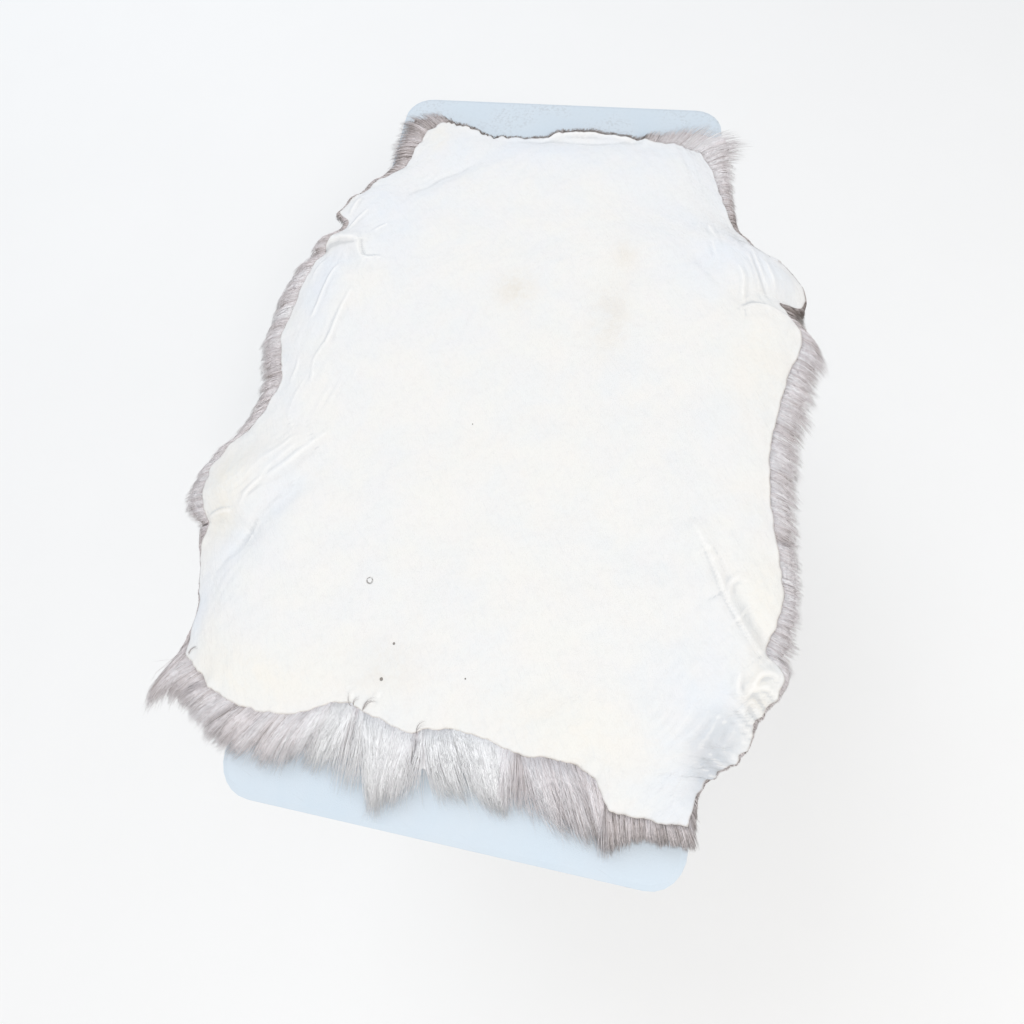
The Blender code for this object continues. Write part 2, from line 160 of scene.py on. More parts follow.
# End edges from left to right. Columns: place across the backbone; place of the skin's edge
# along it; how far the hair tips reach beyond that, to the right and endwards; lightness of
# the hair.
RUMP_EDGE = (
    (-0.396, -0.454, -0.090, 0.108, 0.76),
    (-0.384, -0.458, -0.088, 0.082, 0.80),
    (-0.362, -0.468, -0.064, 0.050, 0.78),
    (-0.330, -0.484, -0.050, 0.038, 0.76),
    (-0.268, -0.499, -0.042, 0.056, 0.76),
    (-0.207, -0.494, -0.034, 0.070, 0.82),
    (-0.162, -0.474, -0.030, 0.082, 0.98),
    (-0.134, -0.470, -0.020, 0.088, 1.06),
    (-0.118, -0.476, 0.028, 0.102, 1.12),
    (-0.097, -0.480, 0.016, 0.106, 1.12),
    (-0.072, -0.486, -0.002, 0.100, 1.04),
    (-0.050, -0.489, 0.000, 0.086, 0.96),
    (-0.036, -0.483, 0.022, 0.080, 1.06),
    (-0.014, -0.478, 0.038, 0.084, 1.12),
    (0.014, -0.476, 0.048, 0.084, 1.12),
    (0.055, -0.481, 0.026, 0.074, 1.06),
    (0.082, -0.488, -0.006, 0.070, 0.88),
    (0.096, -0.489, 0.032, 0.074, 0.80),
    (0.122, -0.486, 0.046, 0.084, 0.76),
    (0.153, -0.487, 0.044, 0.084, 0.72),
    (0.185, -0.500, 0.022, 0.074, 0.66),
    (0.201, -0.524, 0.010, 0.050, 0.58),
    (0.250, -0.528, 0.006, 0.030, 0.50),
    (0.296, -0.527, 0.014, 0.030, 0.50),
)
NECK_EDGE = (
    (-0.236, 0.499, -0.060, 0.036, 0.68),
    (-0.214, 0.518, -0.036, 0.030, 0.62),
    (-0.180, 0.518, -0.006, 0.014, 0.34),
    (-0.120, 0.499, 0.000, 0.009, 0.22),
    (-0.034, 0.502, 0.000, 0.009, 0.26),
    (0.030, 0.514, 0.000, 0.014, 0.30),
    (0.075, 0.514, 0.004, 0.014, 0.30),
    (0.147, 0.507, 0.006, 0.012, 0.34),
    (0.190, 0.500, 0.016, 0.036, 0.72),
    (0.228, 0.493, 0.044, 0.056, 0.86),
    (0.261, 0.477, 0.086, 0.052, 0.88),
)
# Partings of the hair: place on the skin's edge, half-width and how deep each opens.
PARTINGS = (
    (-0.126, -0.472, 0.0030, 1.0),
    (-0.043, -0.486, 0.0040, 0.9),
    (0.087, -0.489, 0.0040, 0.7),
    (0.399, -0.170, 0.0070, 1.2),
    (-0.439, -0.268, 0.0040, 0.9),
    (-0.383, -0.066, 0.0040, 0.7),
    (-0.386, 0.232, 0.0050, 0.8),
)
# Wisps of hair that come through the leather: foot, tip and number of strands.
WISPS = (
    (-0.1335, -0.4730, -0.1400, -0.4600, 3),
    (-0.1320, -0.4720, -0.1285, -0.4590, 3),
    (-0.1180, -0.4770, -0.1040, -0.4590, 6),
    (-0.0430, -0.4870, -0.0330, -0.4770, 4),
    (-0.3900, -0.4530, -0.3740, -0.4400, 4),
)
# Main folds, each a soft ridge between two places, with its width and its height, which is
# negative for a trough.
FOLDS = (
    (-0.287, -0.125, -0.455, -0.235, 0.026, 0.010),
    (-0.266, -0.143, -0.345, -0.280, 0.022, -0.009),
    (-0.345, -0.280, -0.448, -0.262, 0.020, -0.010),
    (-0.395, 0.250, -0.290, 0.240, 0.020, 0.006),
    (-0.390, 0.218, -0.290, 0.200, 0.018, -0.007),
    (-0.087, 0.462, -0.250, 0.362, 0.024, -0.006),
    (0.345, 0.160, 0.455, 0.150, 0.026, 0.008),
    (0.343, 0.200, 0.440, 0.216, 0.022, -0.009),
    (0.343, 0.190, 0.225, 0.315, 0.020, -0.005),
    (0.277, -0.170, 0.318, -0.262, 0.024, 0.006),
    (0.318, -0.262, 0.372, -0.330, 0.022, 0.007),
    (0.302, -0.205, 0.352, -0.280, 0.018, -0.009),
    (0.352, -0.280, 0.395, -0.322, 0.018, -0.010),
    (0.352, -0.392, 0.384, -0.384, 0.016, -0.006),
    (0.333, -0.410, 0.300, -0.511, 0.024, -0.008),
    (-0.190, 0.505, 0.190, 0.495, 0.026, -0.008),
)
# Fine creases on top of the folds. Columns: what it is; places that it runs through; how far
# it spreads to the left and to the right of its run; height of its crest, negative for a trough.
CREASES = (
    ("flank crease", ((-0.332, 0.189), (-0.343, 0.151), (-0.347, 0.111), (-0.353, 0.078)),
     0.0050, 0.0034, 0.0044),
    ("inner flank crease", ((-0.293, 0.143), (-0.300, 0.103), (-0.309, 0.045),
                            (-0.321, 0.000), (-0.315, -0.030)),
     0.0060, 0.0036, 0.0042),
    ("low flank crease", ((-0.354, 0.012), (-0.351, -0.012), (-0.355, -0.036)),
     0.0040, 0.0030, 0.0026),
    ("short flank crease", ((-0.245, 0.006), (-0.248, -0.028)), 0.0040, 0.0040, 0.0014),
    ("long flank crease", ((-0.330, -0.035), (-0.336, -0.091), (-0.318, -0.122), (-0.327, -0.146)),
     0.0050, 0.0034, 0.0018),
    ("shoulder crease", ((-0.362, 0.208), (-0.376, 0.180), (-0.383, 0.155)),
     0.0050, 0.0040, 0.0022),
    ("notch overlap", ((-0.384, 0.226), (-0.351, 0.236), (-0.329, 0.237), (-0.305, 0.237)),
     0.0140, 0.0032, 0.0084),
    ("notch overlap end", ((-0.304, 0.239), (-0.301, 0.222), (-0.294, 0.209), (-0.258, 0.207)),
     0.0030, 0.0120, 0.0062),
    ("neck wrinkle", ((-0.326, 0.333), (-0.334, 0.312), (-0.340, 0.292)), 0.0044, 0.0044, 0.0036),
    ("second neck wrinkle", ((-0.304, 0.305), (-0.320, 0.285), (-0.335, 0.260)),
     0.0044, 0.0034, 0.0034),
    ("third neck wrinkle", ((-0.262, 0.278), (-0.284, 0.260)), 0.0044, 0.0034, 0.0024),
    ("neck trough", ((-0.118, 0.430), (-0.191, 0.386), (-0.250, 0.340)),
     0.012, 0.008, -0.0044),
    ("left lobe ridge", ((-0.262, -0.110), (-0.290, -0.142), (-0.315, -0.170), (-0.352, -0.203)),
     0.0070, 0.0044, 0.0028),
    ("left lobe bend", ((-0.338, -0.177), (-0.351, -0.198), (-0.366, -0.218), (-0.374, -0.240)),
     0.0040, 0.0050, 0.0032),
    ("left lobe trough", ((-0.300, -0.192), (-0.333, -0.243), (-0.358, -0.294), (-0.392, -0.350)),
     0.012, 0.008, -0.0040),
    ("left lobe pinch", ((-0.437, -0.263), (-0.414, -0.253), (-0.388, -0.248)),
     0.0030, 0.0100, 0.0048),
    ("fore fold lip", ((0.340, 0.172), (0.362, 0.184), (0.382, 0.181), (0.400, 0.174),
                       (0.418, 0.168)),
     0.0034, 0.0120, 0.0078),
    ("fore fold ray", ((0.311, 0.333), (0.325, 0.306), (0.342, 0.276)), 0.0060, 0.0050, -0.0022),
    ("second fore ray", ((0.277, 0.341), (0.285, 0.310), (0.297, 0.262)), 0.0060, 0.0040, 0.0018),
    ("third fore ray", ((0.331, 0.251), (0.340, 0.228), (0.343, 0.198)), 0.0050, 0.0040, 0.0028),
    ("fourth fore ray", ((0.354, 0.268), (0.368, 0.238), (0.381, 0.211)),
     0.0060, 0.0050, -0.0024),
    ("fifth fore ray", ((0.374, 0.280), (0.387, 0.250), (0.397, 0.219)), 0.0050, 0.0040, 0.0020),
    ("sixth fore ray", ((0.255, 0.266), (0.282, 0.231), (0.311, 0.202)), 0.0080, 0.0060, -0.0018),
    ("hind ridge", ((0.306, -0.212), (0.317, -0.232), (0.326, -0.254), (0.350, -0.291),
                    (0.365, -0.310), (0.382, -0.328)),
     0.0120, 0.0046, 0.0066),
    ("faint hind ridge", ((0.280, -0.172), (0.296, -0.196), (0.312, -0.220)),
     0.0080, 0.0040, 0.0024),
    ("hind curl", ((0.333, -0.262), (0.335, -0.244), (0.345, -0.235), (0.357, -0.240)),
     0.0040, 0.0046, 0.0026),
    ("hind crumple", ((0.365, -0.364), (0.376, -0.349), (0.392, -0.346), (0.402, -0.352)),
     0.0060, 0.0042, 0.0042),
    ("low hind crumple", ((0.353, -0.384), (0.366, -0.368), (0.385, -0.364), (0.402, -0.371)),
     0.0080, 0.0042, 0.0048),
    ("hind crumple end", ((0.349, -0.348), (0.348, -0.372), (0.355, -0.384), (0.357, -0.398)),
     0.0040, 0.0060, 0.0036),
    ("small hind crumple", ((0.358, -0.397), (0.365, -0.383), (0.379, -0.393)),
     0.0050, 0.0040, 0.0030),
    ("low right fold", ((0.304, -0.391), (0.322, -0.358), (0.340, -0.330)),
     0.0080, 0.0070, 0.0020),
    ("second low right fold", ((0.318, -0.426), (0.334, -0.396), (0.352, -0.368)),
     0.0080, 0.0070, 0.0020),
    ("third low right fold", ((0.292, -0.468), (0.312, -0.432), (0.330, -0.400)),
     0.0080, 0.0070, 0.0020),
    ("backbone", ((0.011, -0.005), (0.017, -0.097), (0.026, -0.197)),
     0.006, 0.006, 0.0008),
    ("tail wrinkle", ((-0.142, -0.446), (-0.135, -0.466)), 0.0034, 0.0034, 0.0022),
    ("second tail wrinkle", ((-0.098, -0.448), (-0.112, -0.468)), 0.0034, 0.0034, 0.0022),
    ("neck rim", ((-0.020, 0.500), (0.030, 0.511), (0.085, 0.511), (0.140, 0.505)),
     0.0070, 0.0050, 0.0060),
    ("neck rim trough", ((-0.070, 0.488), (0.010, 0.494), (0.100, 0.494), (0.165, 0.500)),
     0.0050, 0.0060, -0.0040),
)
# Fields of faint wrinkles: middle, half-length and half-width of the field, direction of the
# wrinkles in degrees from across, their spacing and their height.
WRINKLES = (
    (-0.235, 0.350, 0.120, 0.060, 40, 0.0170, 0.0006),
    (-0.330, 0.120, 0.120, 0.045, 84, 0.0170, 0.0008),
    (-0.300, -0.060, 0.130, 0.050, 80, 0.0150, 0.0006),
    (-0.350, -0.190, 0.100, 0.050, 42, 0.0140, 0.0005),
    (-0.370, -0.380, 0.110, 0.034, 68, 0.0120, 0.0006),
    (0.330, 0.270, 0.110, 0.060, 118, 0.0160, 0.0007),
    (0.240, 0.400, 0.120, 0.040, 118, 0.0170, 0.0005),
    (0.330, -0.180, 0.120, 0.040, 118, 0.0180, 0.0006),
    (0.300, -0.420, 0.100, 0.060, 58, 0.0150, 0.0006),
    (0.180, -0.440, 0.080, 0.040, 40, 0.0200, 0.0004),
    (0.372, -0.412, 0.026, 0.050, -38, 0.0150, 0.0022),
    (0.334, -0.462, 0.030, 0.040, -35, 0.0170, 0.0020),
    (0.318, -0.400, 0.060, 0.050, 60, 0.0190, 0.0008),
    (-0.200, -0.300, 0.160, 0.080, 75, 0.0240, 0.0004),
    (-0.020, 0.430, 0.120, 0.040, 12, 0.0200, 0.0005),
)
# Soft tints of the leather: place, half-widths across and along, and how much painted bluish
# shade, painted yellowish light and real stain it has there. The bluish shade is painted on slopes
# turned from the light, the yellowish light on slopes turned to it.
TINTS = (
    (0.000, 0.470, 0.300, 0.060, 0.90, 0.00, 0.00),
    (-0.270, 0.320, 0.090, 0.090, 0.95, 0.00, 0.00),
    (-0.352, 0.150, 0.035, 0.080, 0.95, 0.00, 0.00),
    (-0.360, 0.020, 0.040, 0.100, 0.40, 0.00, 0.00),
    (0.345, 0.262, 0.100, 0.060, 1.00, 0.00, 0.00),
    (0.270, 0.360, 0.070, 0.080, 0.60, 0.00, 0.00),
    (-0.315, -0.212, 0.026, 0.050, 0.60, 0.00, 0.00),
    (-0.370, -0.310, 0.030, 0.060, 0.80, 0.00, 0.00),
    (-0.400, -0.400, 0.024, 0.060, 1.00, 0.00, 0.00),
    (0.290, -0.450, 0.060, 0.080, 0.95, 0.00, 0.00),
    (0.318, -0.440, 0.036, 0.070, 0.75, 0.00, 0.00),
    (0.345, -0.400, 0.026, 0.040, 0.55, 0.00, 0.00),
    (0.358, -0.430, 0.026, 0.034, 0.70, 0.20, 0.00),
    (0.322, -0.474, 0.024, 0.036, 0.80, 0.00, 0.00),
    (0.290, -0.510, 0.050, 0.024, 0.45, 0.00, 0.00),
    (0.300, -0.320, 0.040, 0.060, 0.45, 0.00, 0.00),
    (-0.280, -0.460, 0.110, 0.040, 0.00, 0.90, 0.00),
    (0.150, -0.450, 0.120, 0.050, 0.00, 0.70, 0.00),
    (0.100, -0.150, 0.260, 0.300, 0.00, 0.22, 0.00),
    (0.370, 0.090, 0.060, 0.120, 0.00, 0.70, 0.00),
    (0.378, -0.250, 0.034, 0.060, 0.00, 0.80, 0.00),
    (0.378, -0.370, 0.026, 0.040, 0.00, 0.80, 0.10),
    (-0.415, -0.195, 0.050, 0.045, 0.00, 1.00, 0.06),
    (-0.408, -0.262, 0.030, 0.030, 0.00, 0.90, 0.14),
    (-0.215, 0.480, 0.024, 0.030, 0.00, 0.60, 0.12),
    (-0.017, 0.168, 0.030, 0.030, 0.00, 0.00, 0.45),
    (0.139, 0.136, 0.030, 0.060, 0.00, 0.00, 0.35),
    (0.153, 0.256, 0.020, 0.030, 0.00, 0.00, 0.30),
    (-0.105, -0.420, 0.045, 0.030, 0.00, 0.00, 0.30),
)
# Small holes right through the leather, painted rather than cut: place, radius, and the radius of
# a pale scar in it. Their dark brown is painted shade.
HOLES = (
    (-0.147, -0.315, 0.0058, 0.0040),
    (-0.095, -0.389, 0.0019, 0.0),
    (-0.102, -0.434, 0.0026, 0.0),
    (0.008, -0.415, 0.0012, 0.0),
    (-0.046, -0.070, 0.0010, 0.0),
)
# The four edges in their order, and stretches of the cut edge that are rougher: edge, middle
# and half-length as shares of it, and how much rougher.
LEFT, RIGHT, RUMP, NECK = range(4)
ROUGH_STRETCHES = ((RIGHT, 0.09, 0.07, 2.2), (NECK, 0.30, 0.20, 0.8))
# The waves of the cut edge: fewest and most turns of a wave along an edge, the number of waves,
# the turns of a wave that is a third of the raggedness high, and where they fade, as a share.
RAG_FEWEST, RAG_MOST, RAG_WAVES = 14, 80, 12
RAG_USUAL = 20
RAG_FADE = 1 / 25


# ---------------------------------------------------------------- settings


class HIDE_PG_skin(bpy.types.PropertyGroup):
    """The leather"""

    thickness: FloatProperty(
        name="Thickness", description="Thickness of the tanned skin", default=0.002,
        min=0.001, max=0.004, unit="LENGTH")
    columns: IntProperty(
        name="Columns", description="Cells across the skin", default=196, min=20)
    rows: IntProperty(
        name="Rows", description="Cells along the skin", default=244, min=20)
    raggedness: FloatProperty(
        name="Raggedness", description="How far the cut edge wanders", default=0.0011,
        unit="LENGTH")
    undulation: FloatProperty(
        name="Undulation", description="Height of the broad unevenness", default=0.0012,
        unit="LENGTH")
    rim_curl: FloatProperty(
        name="Rim Curl", description="How far the cut edge lifts and dips", default=0.0022,
        unit="LENGTH")
    colour: FloatVectorProperty(
        name="Leather", description="Cream leather", subtype="COLOR",
        default=(0.835, 0.828, 0.802))
    # Bluish tone of the leather's own mottling, also painted as shade on slopes turned from the
    # light.
    cool_tone_and_shade: FloatVectorProperty(
        name="Cool Leather", description="Bluish leather", subtype="COLOR",
        default=(0.765, 0.80, 0.845))
    # Painted yellowish light on slopes turned to the light.
    warm_light_colour: FloatVectorProperty(
        name="Warm Leather", description="Yellowish leather", subtype="COLOR",
        default=(0.845, 0.828, 0.765))


class HIDE_PG_hair(bpy.types.PropertyGroup):
    """The hair"""

    seed: IntProperty(name="Seed", description="Draw of the hair's unevenness", default=11)
    radius: FloatProperty(
        name="Radius", description="Radius of a strand at its root", default=0.00036,
        unit="LENGTH")
    side_strands: IntProperty(
        name="Side Strands", description="Strands of each side edge", default=8600, min=100)
    rump_strands: IntProperty(
        name="Rump Strands", description="Strands of each third of the rump", default=5200,
        min=100)
    neck_strands: IntProperty(
        name="Neck Strands", description="Strands of the neck edge", default=2600, min=100)
    lock_size: FloatProperty(
        name="Lock", description="Width of a lock of hair at its root, as a share of its length",
        default=0.26)
    pull: FloatProperty(
        name="Pull", description="How far the tips of a lock come together", default=0.66,
        min=0.0, max=1.0, subtype="FACTOR")
    puff: FloatProperty(
        name="Puff", description="How far the locks rise", default=0.008, unit="LENGTH")


class HIDE_PG_table(bpy.types.PropertyGroup):
    """The folding table"""

    plastic: FloatVectorProperty(
        name="Plastic", description="Moulded table top", subtype="COLOR",
        default=(0.62, 0.71, 0.79))
    steel: FloatVectorProperty(
        name="Steel", description="Powder coat of the legs", subtype="COLOR",
        default=(0.30, 0.32, 0.34))
    rubber: FloatVectorProperty(
        name="Rubber", description="Feet", subtype="COLOR", default=(0.035, 0.035, 0.038))


class HIDE_PG_stage(bpy.types.PropertyGroup):
    """Floor, lights and camera"""

    azimuth: FloatProperty(
        name="Azimuth", description="Camera's place round the table",
        default=math.radians(23.135), unit="ROTATION")
    elevation: FloatProperty(
        name="Elevation", description="Camera's height angle",
        default=math.radians(69.836), unit="ROTATION")
    roll: FloatProperty(
        name="Roll", description="Camera's turn about its own line of sight",
        default=math.radians(-14.958), unit="ROTATION")
    place: FloatVectorProperty(
        name="Place", description="Camera's place from the middle of the table top",
        default=(0.124, -0.318, 0.804), subtype="TRANSLATION", unit="LENGTH")
    lens: FloatProperty(name="Lens", description="Focal length in mm", default=19.34)
    shift: FloatProperty(name="Shift", description="Vertical shift of the view", default=-0.0898)
    floor: FloatVectorProperty(
        name="Floor", description="Pale floor", subtype="COLOR", default=(0.885, 0.885, 0.88))


SETTINGS = {
    "hide_skin": HIDE_PG_skin,
    "hide_hair": HIDE_PG_hair,
    "hide_table": HIDE_PG_table,
    "hide_stage": HIDE_PG_stage,
}


# ---------------------------------------------------------------- shape of the hide


def smooth_line(points, count):
    """Rows of points resampled at count places along a smooth curve through them.

    The curve is a cubic between each two rows, with slopes from the rows on either side, and
    the places are evenly spaced along the first two columns.
    """
    lengths = np.linalg.norm(np.diff(points[:, :2], axis=0), axis=1)
    place = np.concatenate(([0.0], np.cumsum(lengths)))
    slopes = np.gradient(points, place, axis=0)
    wanted = np.linspace(0.0, place[-1], count)
    row = np.clip(np.searchsorted(place, wanted, side="right") - 1, 0, len(place) - 2)
    span = (place[row + 1] - place[row])[:, None]
    f = (wanted - place[row])[:, None] / span
    return (
        (2 * f**3 - 3 * f**2 + 1) * points[row]
        + (f**3 - 2 * f**2 + f) * span * slopes[row]
        + (3 * f**2 - 2 * f**3) * points[row + 1]
        + (f**3 - f**2) * span * slopes[row + 1]
    )


def ragged(line, number, size):
    """The line with its skin edge pushed in and out by a sum of waves that fades at its ends."""
    rng = np.random.default_rng(number)
    step = np.gradient(line[:, :2], axis=0)
    across = np.stack([-step[:, 1], step[:, 0]], axis=1)
    across /= np.linalg.norm(across, axis=1)[:, None]
    s = np.linspace(0.0, 1.0, len(line))
    wave = np.zeros(len(line))
    for turns in rng.uniform(RAG_FEWEST, RAG_MOST, RAG_WAVES):
        wave += np.sin(2 * np.pi * (turns * s + rng.random())) * (RAG_USUAL / turns) ** 0.5 / 3
    fade = np.clip(np.minimum(s, 1 - s) / RAG_FADE, 0.0, 1.0)
    for edge, middle, reach, extra in ROUGH_STRETCHES:
        if edge == number:
            fade = fade * (1 + extra * np.exp(-(((s - middle) / reach) ** 2)))
    line = line.copy()
    line[:, :2] += across * (size * wave * fade)[:, None]
    return line


def turned(vectors, angles):
    """Plan vectors turned by angles."""
    c, s = np.cos(angles), np.sin(angles)
    return np.stack(
        [vectors[:, 0] * c - vectors[:, 1] * s, vectors[:, 0] * s + vectors[:, 1] * c], axis=1)


def along_line(line, s):
    """The columns of an evenly spaced line, read at shares s of its length."""
    places = np.linspace(0, 1, len(line))
    return np.stack([np.interp(s, places, column) for column in line.T], axis=1)


def side_line(rows, sign, count):
    """A side's skin edge, hair tips and tone: x, y, tip x, tip y and tone at each place."""
    along, out, hair_out, hair_back, _, tone = np.array(rows).T
    line = np.stack(
        [sign * out, along, sign * (out + hair_out), along - hair_back, tone], axis=1)
    return smooth_line(line, count)


def end_line(rows, sign, count):
    """An end's skin edge, hair tips and tone: x, y, tip x, tip y and tone at each place."""
    across, along, hair_right, hair_out, tone = np.array(rows).T
    line = np.stack([across, along, across + hair_right, along + sign * hair_out, tone], axis=1)
    return smooth_line(line, count)


def edge_lines(raggedness):
    """The left, right, rump and neck edges, each as an evenly spaced fine line."""
    count = EDGE_CELLS + 1
    lines = (
        side_line(LEFT_EDGE, -1, count),
        side_line(RIGHT_EDGE, 1, count),
        end_line(RUMP_EDGE, -1, count),
        end_line(NECK_EDGE, 1, count),
    )
    return [ragged(line, number, raggedness) for number, line in enumerate(lines)]


def smooth_step(value, low, high):
    """0 below low, 1 above high, and 3 f^2 - 2 f^3 at a share f of the way between them."""
    f = np.clip((value - low) / (high - low), 0.0, 1.0)
    return f * f * (3 - 2 * f)


def bed(x, y):
    """Height of the hair's underside: the table top, then a hyperbola down beside it.

    Beyond the table's edge the height falls by R (sqrt(1 + (d/R)^2) - 1) at a distance d, and
    by the sag of the nearest row of the side tables times the square of that distance.
    """
    lift = EDGE_LIFT * smooth_step(np.abs(x), LIFT_START, LIFT_END)
    beyond = np.maximum(np.abs(x) - HALF_WIDTH + EDGE_ROUND / 2, 0.0)
    bend = BEND_RADIUS * (np.sqrt(1 + (beyond / BEND_RADIUS) ** 2) - 1)
    left, right = np.array(LEFT_EDGE), np.array(RIGHT_EDGE)
    sag = np.where(
        x < 0,
        np.interp(y, left[:, 0], left[:, 4]),
        np.interp(y, right[:, 0], right[:, 4]),
    )
    reach = np.clip((np.abs(x) - HALF_WIDTH) / SAG_REACH, 0.0, SAG_MOST)
    return TOP_HEIGHT + GAP + lift - bend - sag * reach**2


def folds(x, y):
    """Sum of the main folds: each has a bell-shaped section and fades towards its two ends."""
    height = np.zeros_like(x)
    for x0, y0, x1, y1, width, rise in FOLDS:
        dx, dy = x1 - x0, y1 - y0
        along = np.clip(((x - x0) * dx + (y - y0) * dy) / (dx * dx + dy * dy), 0.0, 1.0)
        gap = np.hypot(x - x0 - along * dx, y - y0 - along * dy)
        fade = np.cos(np.pi * (along - 0.5)) ** 0.5
        height += rise * (0.35 + 0.65 * fade) * np.exp(-((gap / width) ** 2))
    return height


def creases(x, y):
    """Sum of the fine creases: a bell-shaped section with its own width on either side.

    Each crease follows a smooth curve through its route. A point takes the height of the
    nearest place on the curve, times exp(-(d/w)^2) for its distance d, and fades with the
    square root of a half sine along the curve.
    """
    height = np.zeros_like(x)
    for _, route, left, right, rise in CREASES:
        spread = 4 * max(left, right)
        route = np.array(route)
        low, high = route.min(axis=0) - spread, route.max(axis=0) + spread
        near = (x > low[0]) & (x < high[0]) & (y > low[1]) & (y < high[1])
        path = smooth_line(route, 48)
        step = np.gradient(path, axis=0)
        step /= np.linalg.norm(step, axis=1)[:, None]
        away = np.stack([x[near], y[near]], axis=1)[:, None] - path[None]
        gaps = np.linalg.norm(away, axis=2)
        spot = gaps.argmin(axis=1)
        gap, away = gaps.min(axis=1), away[np.arange(len(spot)), spot]
        side = step[spot, 0] * away[:, 1] - step[spot, 1] * away[:, 0]
        width = np.where(side > 0, left, right)
        fade = np.sin(np.pi * (spot + 0.5) / len(path)) ** 0.5
        height[near] += rise * fade * np.exp(-((gap / width) ** 2))
    return height


# What pushes wrinkles about, by how many radians at most, and what makes them uneven: longest
# and shortest wave and the first draw of each, and how many waves make up either.
PUSH_WAVES, PUSH_DRAW, MOST_PUSH = (0.120, 0.050), 30, 2.2
STRENGTH_WAVES, STRENGTH_DRAW = (0.200, 0.080), 60
FIELD_WAVES = 8


def wrinkles(x, y):
    """Sum of the fields of faint wrinkles.

    Each is a sine across its direction, with its phase pushed about by broad waves, times a
    bell-shaped fade along and across the field and an uneven strength of about 0.5.
    """
    height = np.zeros_like(x)
    for seed, (x0, y0, length, width, angle, spacing, rise) in enumerate(WRINKLES):
        c, s = math.cos(math.radians(angle)), math.sin(math.radians(angle))
        along, across = (x - x0) * c + (y - y0) * s, (y - y0) * c - (x - x0) * s
        push = MOST_PUSH * waves(x, y, *PUSH_WAVES, PUSH_DRAW + seed, FIELD_WAVES)
        uneven = waves(x, y, *STRENGTH_WAVES, STRENGTH_DRAW + seed, FIELD_WAVES)
        strength = 0.55 + 0.45 * uneven
        fade = np.exp(-((along / length) ** 2) - (across / width) ** 2)
        height += rise * fade * strength * np.sin(2 * np.pi * across / spacing + push)
    return height


def waves(x, y, longest, shortest, seed, count=14):
    """Uneven height from -1 to 1: a sum of plane waves in all directions."""
    rng = np.random.default_rng(seed)
    total = np.zeros_like(x)
    for _ in range(count):
        turn = rng.uniform(0, 2 * np.pi)
        wave = 2 * np.pi / rng.uniform(shortest, longest)
        total += np.sin(wave * (x * np.cos(turn) + y * np.sin(turn)) + rng.uniform(0, 6.3))
    return total / count**0.5


def skin_rise(x, y, to_rim, skin):
    """Height of the leather's upper face above the bed, at a distance from its cut edge."""
    thickness = PILE * (1 - RIM_DIP * np.exp(-to_rim / RIM_REACH))
    broad = skin.undulation * waves(x, y, *BROAD_WAVES)
    small = skin.undulation * SMALL_SHARE * waves(x, y, *SMALL_WAVES)
    curl = skin.rim_curl * np.exp(-to_rim / CURL_REACH) * waves(x, y, *RIM_WAVES)
    return thickness + folds(x, y) + creases(x, y) + wrinkles(x, y) + broad + small + curl


def calmed(line):
    """The line's plan places averaged over their neighbours, with both ends kept."""
    reach = int(len(line) * CALM_SHARE)
    spread = np.exp(-((np.arange(-reach, reach + 1) / (CALM_SPREAD * reach)) ** 2))
    wide = np.pad(line[:, :2], ((reach, reach), (0, 0)), mode="reflect", reflect_type="odd")
    return np.stack(
        [np.convolve(column, spread / spread.sum(), mode="valid") for column in wide.T], axis=1)


def spaced(count, crowds):
    """Shares from 0 to 1, closer together round the middle of each crowd.

    Their density is 1 + extra exp(-((share - middle) / width)^2), summed over the crowds.
    """
    fine = np.linspace(0, 1, 2001)
    density = np.ones_like(fine)
    for middle, width, extra in crowds:
        density += extra * np.exp(-(((fine - middle) / width) ** 2))
    passed = np.concatenate([[0.0], np.cumsum((density[1:] + density[:-1]) / 2)])
    return np.interp(np.linspace(0, passed[-1], count + 1), passed, fine)


def patch_grid(lines, u, v):
    """Plan x and y of points between the four edges, and their distances from the nearest edge.

    The point at (u, v) is the blend of the two calmed sides at v and the two calmed ends at
    u, less the blend of the four corners. What calming took from an edge is added back near
    it, fading with a smooth step.
    """
    shares, axes = (v, v, u, u), (1, 1, 0, 0)
    own = [np.expand_dims(along_line(line[:, :2], s), axis)
           for line, s, axis in zip(lines, shares, axes)]
    calm = [np.expand_dims(along_line(calmed(line), s), axis)
            for line, s, axis in zip(lines, shares, axes)]
    u, v = u[None, :, None], v[:, None, None]
    plan = (
        (1 - v) * calm[RUMP] + v * calm[NECK] + (1 - u) * calm[LEFT] + u * calm[RIGHT]
        - (1 - u) * (1 - v) * own[RUMP][:, 0] - u * (1 - v) * own[RUMP][:, -1]
        - (1 - u) * v * own[NECK][:, 0] - u * v * own[NECK][:, -1]
    )
    for edge, averaged, inwards in zip(own, calm, (u, 1 - u, v, 1 - v)):
        plan = plan + (edge - averaged) * (1 - smooth_step(inwards, 0.0, CALM_FADE))
    gaps = [np.linalg.norm(plan - edge, axis=2) for edge in own]
    return plan[..., 0].ravel(), plan[..., 1].ravel(), np.minimum.reduce(gaps).ravel()


def grid_faces(columns, rows):
    """Quads of a grid of points laid out row by row, facing up for x across and y along."""
    index = np.arange((columns + 1) * (rows + 1)).reshape(rows + 1, columns + 1)
    return np.stack(
        [index[:-1, :-1], index[:-1, 1:], index[1:, 1:], index[1:, :-1]], axis=-1).reshape(-1, 4)


# ---------------------------------------------------------------- meshes


def new_object(name, data):
    """An object of the scene that holds the data."""
    made = bpy.data.objects.new(name, data)
    bpy.context.scene.collection.objects.link(made)
    return made


